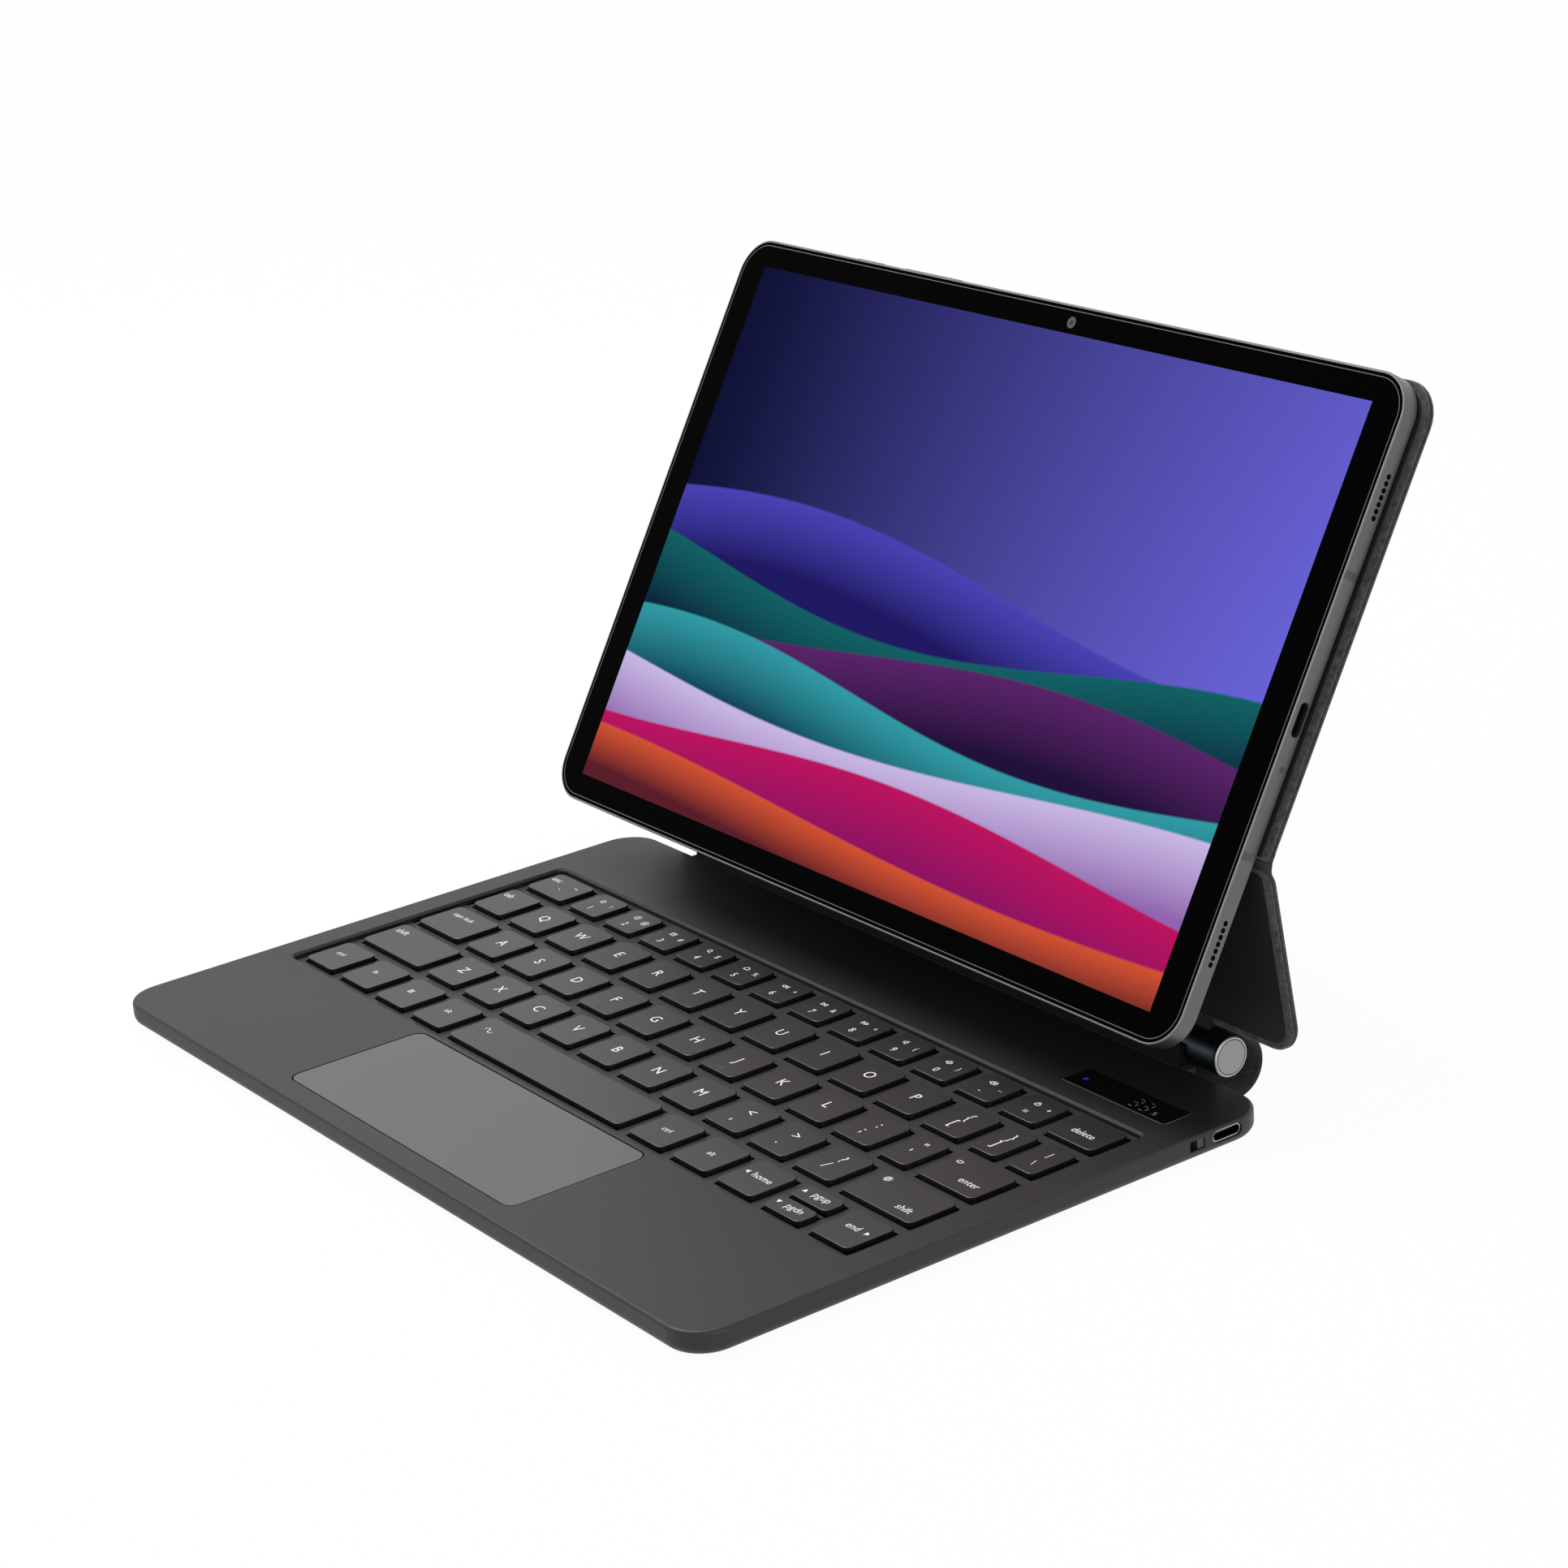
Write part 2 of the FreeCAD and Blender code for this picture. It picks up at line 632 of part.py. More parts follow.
def charging_socket():
    """The metal shell of the charging socket with its tongue."""
    body = new_body("charging_socket")
    mouth = BASE_RIGHT + " - socket_set_back"
    shell = rounded_rectangle(body, "socket_width", "socket_height", "(socket_height / 2 - 0.01)",
                              SOCKET_Y, SIDE_Z, mouth + " - socket_length", "YZ_Plane")
    pad(body, shell, "socket_length")
    bore = rounded_rectangle(
        body, "(socket_width - 2 * socket_wall)", "(socket_height - 2 * socket_wall)",
        "(socket_height / 2 - socket_wall - 0.01)", SOCKET_Y, SIDE_Z, mouth, "YZ_Plane")
    pocket(body, bore, "socket_bore_depth")
    add_box(body, mouth + " - socket_bore_depth - socket_wall", SOCKET_Y + " - tongue_width / 2",
            SIDE_Z + " - tongue_thickness / 2", "tongue_length + socket_wall", "tongue_width", "tongue_thickness")
    finish(body, "charging_socket")


def power_switch():
    """The slide knob at the rear end of its slot, with a wider foot that keeps it in."""
    body = new_body("power_switch")
    foot_back = BASE_RIGHT + " - slot_depth - foot_depth - fit_gap"
    middle = "(%s + slot_length / 2 - fit_gap / 2 - knob_length / 2)" % SWITCH_Y
    add_box(body, foot_back, middle + " - foot_length / 2", SIDE_Z + " - slot_height / 2 - fit_gap",
            "foot_depth", "foot_length", "slot_height + 2 * fit_gap")
    add_box(body, foot_back, middle + " - knob_length / 2", SIDE_Z + " - knob_height / 2",
            "slot_depth + foot_depth + fit_gap - knob_set_back", "knob_length", "knob_height")
    finish(body, "power_switch")


def status_window():
    """The gloss pane that the charge lights shine through."""
    pane = solid_box(WINDOW_LEFT, WINDOW_FRONT, "base_thickness - window_thickness", "window_width",
                     "window_depth", "window_thickness")
    finish(pane, "status_window")


def trackpad():
    """The pressing surface, and the board under it."""
    low = "(base_thickness - pad_recess - pad_thickness)"
    surface = plate("trackpad", "pad_width", PAD_DEPTH, "pad_thickness", "pad_corner", "pad_centre_x",
                    PAD_MIDDLE, low)
    finish(surface, "trackpad")
    width = "(pad_width - 2 * pad_board_inset)"
    depth = "(%s - 2 * pad_board_inset)" % PAD_DEPTH
    board = solid_box("pad_centre_x - %s / 2" % width, "%s - %s / 2" % (PAD_MIDDLE, depth), SHELL_FLOOR, width,
                      depth, "%s - pad_travel_gap - %s" % (low, SHELL_FLOOR))
    finish(board, "trackpad_board")


# Keys

def row_front(row):
    return "(%s + key_front_gap + %d * row_pitch)" % (WELL_FRONT, row)


def cap_outline(body, x, y, height, width, depth):
    """A key's plan: a rectangle with its corners cropped."""
    right = "(%s / 2)" % width
    rear = "(%s / 2)" % depth
    inner_right = "(%s - key_crop)" % right
    inner_rear = "(%s - key_crop)" % rear
    points = [
        ("-" + inner_right, "-" + rear),
        (inner_right, "-" + rear),
        (right, "-" + inner_rear),
        (right, inner_rear),
        (inner_right, rear),
        ("-" + inner_right, rear),
        ("-" + right, inner_rear),
        ("-" + right, "-" + inner_rear),
    ]
    return outline(body, points, "XY_Plane", x, y, height)


def key_cap(body, left, front, width, depth):
    """One cap: a straight skirt under a bevelled top. Returns its two pads and its sketch."""
    x = "%s + %s / 2" % (left, width)
    y = "%s + %s / 2" % (front, depth)
    skirt = cap_outline(body, x, y, KEY_BOTTOM, width, depth)
    lower = pad(body, skirt, "key_height - key_bevel")
    upper = pad(body, cap_outline(body, x, y, KEY_TOP + " - key_bevel", width, depth), "key_bevel")
    upper.TaperAngle = -45
    doc.recompute()
    return lower, upper, skirt


ROW_LEFT = {
    "bottom_row": "(%s + shift_width + key_gap)" % BLOCK_LEFT,
    "home_row": "(%s + caps_width + key_gap)" % BLOCK_LEFT,
    "letter_row": "(%s + key_pitch)" % BLOCK_LEFT,
    "digit_row": "(%s + esc_width + key_gap)" % BLOCK_LEFT,
}
ROWS = [
    # label, row, count, pitch, cap depth, width of the narrow key that ends the row
    ("bottom_row", 1, 10, "key_pitch", "key_depth", None),
    ("home_row", 2, 10, "key_pitch", "key_depth", "quote_width"),
    ("letter_row", 3, 11, "key_pitch", "key_depth", "bracket_width"),
    ("digit_row", 4, 12, TOP_PITCH, "top_key_depth", None),
]
AFTER_BOTTOM = "(%s + 10 * key_pitch)" % ROW_LEFT["bottom_row"]
AFTER_HOME = "(%s + 10 * key_pitch + quote_width + key_gap)" % ROW_LEFT["home_row"]
HALF_KEY = "((key_depth - arrow_gap) / 2)"


def left_unit(number):
    return "(%s + %d * key_pitch)" % (BLOCK_LEFT, number)


def right_unit(number):
    return "(%s - %d * key_pitch + key_gap)" % (BLOCK_RIGHT, number)


def up_to_right(left):
    return "(%s - %s)" % (BLOCK_RIGHT, left)


SINGLE_KEYS = [
    # label, left edge, front edge, width, depth
    ("ctrl_left_key", left_unit(0), row_front(0), KEY_WIDTH, "key_depth"),
    ("fn_key", left_unit(1), row_front(0), KEY_WIDTH, "key_depth"),
    ("menu_key", left_unit(2), row_front(0), KEY_WIDTH, "key_depth"),
    ("alt_left_key", left_unit(3), row_front(0), KEY_WIDTH, "key_depth"),
    ("space_key", left_unit(4), row_front(0), "(%s - 9 * key_pitch)" % KEY_BLOCK, "key_depth"),
    ("ctrl_right_key", right_unit(5), row_front(0), KEY_WIDTH, "key_depth"),
    ("alt_right_key", right_unit(4), row_front(0), KEY_WIDTH, "key_depth"),
    ("arrow_left_key", right_unit(3), row_front(0), KEY_WIDTH, "key_depth"),
    ("arrow_down_key", right_unit(2), row_front(0), KEY_WIDTH, HALF_KEY),
    ("arrow_up_key", right_unit(2), "(%s + %s + arrow_gap)" % (row_front(0), HALF_KEY), KEY_WIDTH, HALF_KEY),
    ("arrow_right_key", right_unit(1), row_front(0), KEY_WIDTH, "key_depth"),
    ("shift_left_key", BLOCK_LEFT, row_front(1), "shift_width", "key_depth"),
    ("shift_right_key", AFTER_BOTTOM, row_front(1), up_to_right(AFTER_BOTTOM), "key_depth"),
    ("caps_key", BLOCK_LEFT, row_front(2), "caps_width", "key_depth"),
    ("enter_key", AFTER_HOME, row_front(2), up_to_right(AFTER_HOME), "key_depth"),
    ("tab_key", BLOCK_LEFT, row_front(3), KEY_WIDTH, "key_depth"),
    ("backslash_key", "(%s - backslash_width)" % BLOCK_RIGHT, row_front(3), "backslash_width", "key_depth"),
    ("esc_key", BLOCK_LEFT, row_front(4), "esc_width", "top_key_depth"),
    ("delete_key", "(%s - delete_width)" % BLOCK_RIGHT, row_front(4), "delete_width", "top_key_depth"),
]


def key_row(label, row, count, pitch, depth, narrow):
    """A row of like caps made by a pattern, ended by a narrow key where the row has one."""
    body = new_body(label, several=True)
    left = ROW_LEFT[label]
    if narrow:
        key_cap(body, "(%s + %d * %s)" % (left, count, pitch), row_front(row), narrow, depth)
    lower, upper, skirt = key_cap(body, left, row_front(row), "(%s - key_gap)" % pitch, depth)
    pattern = body.newObject("PartDesign::LinearPattern", "Pattern")
    pattern.Originals = [lower, upper]
    pattern.Direction = (skirt, ["H_Axis"])
    pattern.Mode = "Extent"
    bind(pattern, Length="%d * %s" % (count - 1, pitch))
    pattern.Occurrences = count
    body.Tip = pattern
    doc.recompute()
    finish(body, label)


def keys():
    for row in ROWS:
        key_row(*row)
    for label, left, front, width, depth in SINGLE_KEYS:
        body = new_body(label)
        key_cap(body, left, front, width, depth)
        finish(body, label)


def key_middles():
    """The middle of every cap, with the depth that its lift takes."""
    for label, row, count, pitch, depth, narrow in ROWS:
        widths = ["(%s - key_gap)" % pitch] * count + ([narrow] if narrow else [])
        for number, width in enumerate(widths):
            x = "%s + %d * %s + %s / 2" % (ROW_LEFT[label], number, pitch, width)
            yield x, "%s + %s / 2" % (row_front(row), depth), "lift_depth"
    for label, left, front, width, depth in SINGLE_KEYS:
        lift_depth = "small_lift_depth" if depth == HALF_KEY else "lift_depth"
        yield "%s + %s / 2" % (left, width), "%s + %s / 2" % (front, depth), lift_depth


def key_lifts():
    """The sprung lift under each cap."""
    height = "%s - key_lift_gap - %s" % (KEY_BOTTOM, MEMBRANE_TOP)
    lifts = [
        solid_box(x + " - lift_width / 2", "%s - %s / 2" % (y, depth), MEMBRANE_TOP, "lift_width", depth, height)
        for x, y, depth in key_middles()
    ]
    finish(join(lifts, False), "key_lifts")


# Hinge

def hinge_saddle():
    """The long block on the deck's rear edge: a foot in the notch and a round seat for the barrel."""
    body = new_body("hinge_saddle")
    front = "(%s - saddle_notch + fit_gap)" % BASE_REAR
    rear = "(%s + saddle_back)" % BASE_REAR
    foot = "(split_height + fit_gap / 4)"
    foot_top = "(base_thickness + saddle_lip)"
    top = "(%s + saddle_rise)" % HINGE_Z
    points = [
        (front, foot),
        (rear, foot),
        (rear, top),
        ("(%s - saddle_crest)" % BASE_REAR, top),
        (front, foot_top),
    ]
    pad(body, outline(body, points, "YZ_Plane"), "2 * " + SADDLE_HALF, midplane=True)
    add_box(body, "-" + SADDLE_FOOT_HALF, front, foot, "2 * " + SADDLE_FOOT_HALF, "%s - %s" % (rear, front),
            "%s - %s" % (foot_top, foot))
    seat = body.newObject("PartDesign::SubtractiveCylinder", "Seat")
    seat.Placement = FreeCAD.Placement(Vector(0, 0, 0), Rotation(Vector(0, 1, 0), 90))
    bind(seat, Radius="barrel_radius + seat_gap", Height="2 * %s + 2" % SADDLE_HALF)
    place(seat, "-%s - 1" % SADDLE_HALF, HINGE_Y, HINGE_Z)
    doc.recompute()
    finish(body, "hinge_saddle")


def knuckle_start(side):
    """Where a hinge knuckle starts on the left or right half of the barrel."""
    return "(%s%s - knuckle_length / 2)" % (side, KNUCKLE_MIDDLE)


def barrel_tube():
    """The round tube along the rear edge, with a slot at each knuckle for the stand's arms."""
    tube = cut(rod("barrel_radius", "2 * " + TUBE_HALF, "-" + TUBE_HALF),
               rod(BARREL_BORE, "2 * %s + 2" % TUBE_HALF, "-%s - 1" % TUBE_HALF))
    turn = "((arm_slot_angle - 90) * 1 deg)"
    for side in ("-", ""):
        slot = solid_box("0", "0", "0", "knuckle_length + 2 * knuckle_side_gap", "arm_slot_width",
                         "2 * barrel_radius")
        slot.Placement = FreeCAD.Placement(Vector(0, 0, 0), Rotation(Vector(1, 0, 0), value("arm_slot_angle") - 90))
        place(slot, knuckle_start(side) + " - knuckle_side_gap", "%s - arm_slot_width / 2 * cos%s" % (HINGE_Y, turn),
              "%s - arm_slot_width / 2 * sin%s" % (HINGE_Z, turn))
        tube = cut(tube, slot)
    finish(tube, "barrel_tube")


def barrel_end_cap(side):
    """A turned cap: a disc with a bevelled rim, and a spigot bored for the hinge pin."""
    body = new_body("end_cap")
    body.Placement = FreeCAD.Placement(Vector(0, 0, 0), Rotation(Vector(0, 1, 0), 90 * side))
    place(body, "%d * %s" % (side, TUBE_HALF), HINGE_Y, HINGE_Z)
    bore = "(pin_radius + pin_running_gap)"
    spigot = "(%s - plug_gap)" % BARREL_BORE
    points = [
        (bore, "-cap_spigot"),
        (spigot, "-cap_spigot"),
        (spigot, "0"),
        ("barrel_radius", "0"),
        ("barrel_radius", "cap_thickness - cap_bevel"),
        ("barrel_radius - cap_bevel", "cap_thickness"),
        ("0", "cap_thickness"),
        ("0", "0"),
        (bore, "0"),
    ]
    profile = outline(body, points, "XZ_Plane")
    disc = body.newObject("PartDesign::Revolution", "Turned")
    disc.Profile = profile
    disc.ReferenceAxis = (profile, ["V_Axis"])
    disc.Angle = 360
    doc.recompute()
    return body


def end_caps():
    finish(join([barrel_end_cap(-1), barrel_end_cap(1)], False), "end_caps")


PLUG_START = "(%s - knuckle_length / 2 - knuckle_side_gap - support_length)" % KNUCKLE_MIDDLE


def hinge_pins():
    """One pin near each end of the barrel, held in the cap's spigot and in a plug."""
    length = "(%s - %s)" % (TUBE_HALF, PLUG_START)
    pins = [rod("pin_radius", length, x) for x in ("-" + TUBE_HALF, PLUG_START)]
    finish(join(pins, False), "hinge_pins")


def pin_supports():
    """Round plugs in the tube that carry the pins' inner ends."""
    plugs = []
    for x in ("-%s - support_length" % PLUG_START, PLUG_START):
        outer = rod(BARREL_BORE + " - plug_gap", "support_length", x)
        bore = rod("pin_radius + pin_running_gap", "support_length + 2", x + " - 1")
        plugs.append(cut(outer, bore))
    finish(join(plugs, False), "pin_supports")


def leaf_arm(side):
    """The sloping arm between a knuckle and the leaf's plate, in the lower panel's frame."""
    rise = value("stand_length - %s + arm_thickness / 2" % LEAF_LOW)
    drop = value("stand_offset - %s + leaf_thickness / 2" % CARD_TOP)
    turn = Rotation(Vector(1, 0, 0), -math.degrees(math.atan2(drop, rise)))
    lift = turn.multVec(Vector(0, 0, -value("arm_thickness") / 2))
    arm = doc.addObject("Part::Box", "Arm")
    arm.Width = math.hypot(rise, drop)
    bind(arm, Length="knuckle_length", Height="arm_thickness")
    arm.Placement = FreeCAD.Placement(Vector(0, 0, 0), turn)
    place(arm, knuckle_start(side), "%.9f - stand_length" % lift.y, "%.9f + stand_offset" % lift.z)
    return arm


def stand_leaf():
    """The steel leaf in the lower panel, with two arms that end in knuckles round the pins."""
    pieces = [solid_box("-" + LEAF_HALF, "-" + LEAF_LOW, CARD_TOP + " - leaf_thickness", "2 * " + LEAF_HALF,
                        "leaf_depth", "leaf_thickness")]
    bores = []
    for side in ("-", ""):
        start = knuckle_start(side)
        pieces.append(rod(KNUCKLE_RADIUS, "knuckle_length", start, "-stand_length", "stand_offset"))
        pieces.append(leaf_arm(side))
        bores.append(rod("pin_radius + pin_running_gap", "knuckle_length + 2", start + " - 1", "-stand_length",
                         "stand_offset"))
    leaf = cut(join(pieces), join(bores, False))
    place_on_stand(leaf)
    finish(leaf, "stand_leaf")


def spine_cloth():
    """The soft strip that runs from under the base round the back of the barrel."""
    half = "(%s + spine_overhang)" % BARREL_HALF
    middle = "(%s + spine_back)" % HINGE_Y
    bend = rod(SPINE_RADIUS, "2 * " + half, "-" + half, middle, SPINE_RADIUS)
    bind(bend, Angle="spine_sweep")
    hollow = rod(SPINE_RADIUS + " - spine_thickness", "2 * %s + 2" % half, "-%s - 1" % half, middle, SPINE_RADIUS)
    start = "(%s - spine_tuck)" % BASE_REAR
    lead = solid_box("-" + half, start, "0", "2 * " + half, "%s - %s" % (middle, start), "spine_thickness")
    finish(join([cut(bend, hollow), lead]), "spine_cloth")


# Stand and screen panels

def stand_layer(label, inset, base, thickness):
    """A layer of the lower panel: two round corners at its foot, a straight edge at the fold."""
    body = new_body(label)
    half = "(%s - %s)" % (STAND_HALF, inset)
    foot = "(%s - %s)" % (STAND_FOOT, inset)
    radius = "(stand_corner - %s)" % inset
    height = "(%s - fold_gap + 2 * %s)" % (foot, radius)
    sketch = rounded_rectangle(body, "(2 * %s)" % half, height, radius, "0", "%s / 2 - %s" % (height, foot), base)
    pad(body, sketch, thickness)
    cut_box(body, "-%s - 1" % half, "-fold_gap", base + " - 1", "2 * %s + 2" % half, "3 * " + radius,
            thickness + " + 2")
    place_on_stand(body)
    return body


def stand_layers():
    """Lower panel: outer cloth, stiff card with the leaf's pocket, and inner lining."""
    cloth = stand_layer("stand_cloth", "0", "0", "cloth_thickness")
    card = stand_layer("stand_card", "card_inset", "cloth_thickness", "card_thickness")
    lining = stand_layer("stand_lining", "0", CARD_TOP, "lining_thickness")
    cut_box(card, "-%s - fit_gap" % LEAF_HALF, "-%s - fit_gap" % LEAF_LOW,
            CARD_TOP + " - leaf_thickness - fit_gap / 4", "2 * (%s + fit_gap)" % LEAF_HALF,
            "leaf_depth + 2 * fit_gap", "leaf_thickness + 1")
    for side in ("-", ""):
        for body in (card, lining):
            cut_box(body, knuckle_start(side) + " - knuckle_side_gap", "-%s - 1" % STAND_FOOT,
                    "cloth_thickness - fit_gap", "knuckle_length + 2 * knuckle_side_gap", "arm_notch + 1",
                    PANEL_THICKNESS)
    finish(cloth, "stand_cloth")
    finish(card, "stand_card")
    finish(lining, "stand_lining")


def panel_layer(label, inset, base, thickness):
    """A layer of the upper panel: round upper corners and the rear camera's opening."""
    body = new_body(label)
    half = "(%s - %s)" % (PANEL_HALF, inset)
    top = "(%s - %s)" % (PANEL_TOP, inset)
    radius = "(panel_corner - %s)" % inset
    height = "(%s - fold_gap + 2 * %s)" % (top, radius)
    sketch = rounded_rectangle(body, "(2 * %s)" % half, height, radius, "0", "%s - %s / 2" % (top, height), base)
    pad(body, sketch, thickness)
    cut_box(body, "-%s - 1" % half, "fold_gap - 3 * " + radius, base + " - 1", "2 * %s + 2" % half,
            "3 * " + radius, thickness + " + 2")
    hole = rounded_rectangle(body, "(%s + 2 * %s)" % (CAMERA_WIDTH, inset), "(%s + 2 * %s)" % (CAMERA_HEIGHT, inset),
                             "(%s / 2 + %s - 0.01)" % (CAMERA_WIDTH, inset), CAMERA_X, CAMERA_UP, base + " - 1")
    pocket(body, hole, thickness + " + 2", upward=True)
    place_on_screen_panel(body)
    return body


HOLD_MAGNETS = [
    ("%d * hold_magnet_pitch" % column, up)
    for up, columns in (("hold_magnet_low", range(-2, 3)), (CAMERA_UP, range(-1, 3)))
    for column in columns
]


def screen_panel_layers():
    """Upper panel: outer cloth, stiff card with magnets that hold the tablet, and inner lining."""
    cloth = panel_layer("panel_cloth", "0", "0", "cloth_thickness")
    card = panel_layer("panel_card", "card_inset", "cloth_thickness", "card_thickness")
    lining = panel_layer("panel_lining", "0", CARD_TOP, "lining_thickness")
    magnets = []
    for middle, up in HOLD_MAGNETS:
        left = middle + " - hold_magnet_length / 2"
        low = up + " - hold_magnet_width / 2"
        cut_box(card, left + " - fit_gap / 2", low + " - fit_gap / 2", "cloth_thickness - 1",
                "hold_magnet_length + fit_gap", "hold_magnet_width + fit_gap", "card_thickness + 2")
        magnets.append(solid_box(left, low, "cloth_thickness", "hold_magnet_length", "hold_magnet_width",
                                 "card_thickness"))
    group = join(magnets, False)
    place_on_screen_panel(group)
    finish(cloth, "panel_cloth")
    finish(card, "panel_card")
    finish(lining, "panel_lining")
    finish(group, "hold_magnets")


def fold_strip():
    """The strip of outer cloth that bends between the two panels."""
    gap = value("fold_gap")
    thick = value("cloth_thickness")
    half = value(STAND_HALF + " - card_inset")
    lean = math.radians(value("stand_lean"))
    tilt = math.radians(value("screen_tilt"))
    fold = Vector(-half, value(FOLD_Y), value(FOLD_Z))
    down = Vector(0, math.sin(lean), -math.cos(lean))
    up = Vector(0, math.sin(tilt), math.cos(tilt))
    stand_in = Vector(0, -math.cos(lean), -math.sin(lean))
    panel_in = Vector(0, -math.cos(tilt), math.sin(tilt))
    points = [
        fold + down * gap,
        fold,
        fold + up * gap,
        fold + up * gap + panel_in * thick,
        fold + down * gap + stand_in * thick,
    ]
    strip = doc.addObject("Part::Feature", "FoldStrip")
    strip.Shape = Part.Face(Part.makePolygon(points + points[:1])).extrude(Vector(2 * half, 0, 0))
    finish(strip, "fold_strip")


# Tablet

def tablet_body():
    """The tablet's metal body: bevelled edges, glass recess, charging port and pockets for its keys."""
    body = new_body("tablet_body")
    slab = pad(body, rounded_rectangle(body, "tablet_width", "tablet_height", "tablet_corner", "0",
                                       TABLET_MIDDLE, TABLET_BACK), "tablet_thickness")
    back = dress_face_edges(body, slab, Vector(0, 0, -1), "Chamfer", "tablet_bevel")
    dress_face_edges(body, back, Vector(0, 0, 1), "Chamfer", "rim_bevel")
    recess = rounded_rectangle(
        body, "(tablet_width - 2 * glass_inset + 2 * glass_gap)", "(tablet_height - 2 * glass_inset + 2 * glass_gap)",
        "(tablet_corner - glass_inset + glass_gap)", "0", TABLET_MIDDLE, TABLET_FRONT)
    pocket(body, recess, "glass_thickness + glass_gap")
    port = rounded_rectangle(
        body, "port_length", "port_height", "(port_height / 2 - 0.01)", TABLET_MIDDLE,
        "(%s + tablet_thickness / 2)" % TABLET_BACK, "tablet_width / 2 + 1", "YZ_Plane")
    pocket(body, port, "port_depth + 1")
    for label, middle, length in EDGE_KEYS:
        cut_box(body, "%s - %s / 2 - edge_key_gap" % (middle, length), TABLET_TOP + " - edge_key_well",
                EDGE_KEY_LOW + " - edge_key_gap", length + " + 2 * edge_key_gap", "edge_key_well + 1",
                "edge_key_thickness + 2 * edge_key_gap")
    place_on_screen_panel(body)
    finish(body, "tablet_body")


def tablet_edge_keys():
    """The power key and the volume rocker: half of each stands out of the tablet's upper edge."""
    for label, middle, length in EDGE_KEYS:
        body = new_body(label)
        add_box(body, "%s - %s / 2" % (middle, length), TABLET_TOP + " - edge_key_in", EDGE_KEY_LOW, length,
                "edge_key_out + edge_key_in", "edge_key_thickness")
        place_on_screen_panel(body)
        finish(body, label)


def tablet_glass():
    """The cover glass, recessed for the screen."""
    body = plate("tablet_glass", "(tablet_width - 2 * glass_inset)", "(tablet_height - 2 * glass_inset)",
                 "glass_thickness", "(tablet_corner - glass_inset)", "0", TABLET_MIDDLE,
                 TABLET_FRONT + " - glass_thickness")
    cut_box(body, "bezel_side - tablet_width / 2 - glass_gap", "bezel_end - tablet_below_fold - glass_gap",
            TABLET_FRONT + " - screen_thickness", "tablet_width - 2 * bezel_side + 2 * glass_gap",
            "tablet_height - 2 * bezel_end + 2 * glass_gap", "screen_thickness + 1")
    place_on_screen_panel(body)
    finish(body, "tablet_glass")


def tablet_screen():
    body = new_body("tablet_screen")
    add_box(body, "bezel_side - tablet_width / 2", "bezel_end - tablet_below_fold", TABLET_FRONT + " - screen_thickness",
            "tablet_width - 2 * bezel_side", "tablet_height - 2 * bezel_end", "screen_thickness")
    place_on_screen_panel(body)
    finish(body, "tablet_screen")


def tablet_lenses():
    """The two rear lenses, in the panel's opening."""
    lenses = []
    for way in ("-", "+"):
        lens = doc.addObject("Part::Cylinder", "Lens")
        bind(lens, Radius="lens_radius", Height="lens_height")
        place(lens, CAMERA_X, "%s %s lens_pitch / 2" % (CAMERA_UP, way), TABLET_BACK + " - lens_height")
        lenses.append(lens)
    group = join(lenses, False)
    place_on_screen_panel(group)
    finish(group, "tablet_lenses")


def build():
    underside_skin()
    bottom_shell()
    top_deck()
    sheets_under_keys()
    battery_cells()
    main_board()
    closing_magnets()
    charging_socket()
    power_switch()
    status_window()
    trackpad()
    keys()
    key_lifts()
    hinge_saddle()
    barrel_tube()
    end_caps()
    hinge_pins()
    pin_supports()
    stand_leaf()
    spine_cloth()
    stand_layers()
    screen_panel_layers()
    fold_strip()
    tablet_body()
    tablet_edge_keys()
    tablet_glass()
    tablet_screen()
    tablet_lenses()
    doc.recompute()


def check():
    for thing in doc.Objects:
        if "Invalid" in thing.State or "Error" in thing.State:
            raise RuntimeError("%s failed" % thing.Label)
    for piece, label in finished:
        if piece.Shape.isNull() or not piece.Shape.isValid():
            raise RuntimeError("%s has no valid shape" % label)


def export():
    os.makedirs("parts", exist_ok=True)
    for piece, label in finished:
        piece.Shape.exportStep("parts/%s.step" % label)
        print(label, len(piece.Shape.Solids), "solids", round(piece.Shape.Volume, 1), "mm3")


build()
check()
export()
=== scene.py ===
"""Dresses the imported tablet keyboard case: materials, keys and legends, cloth covers, lights and camera."""
import json
import math

import bmesh
import bpy
from mathutils import Matrix, Vector

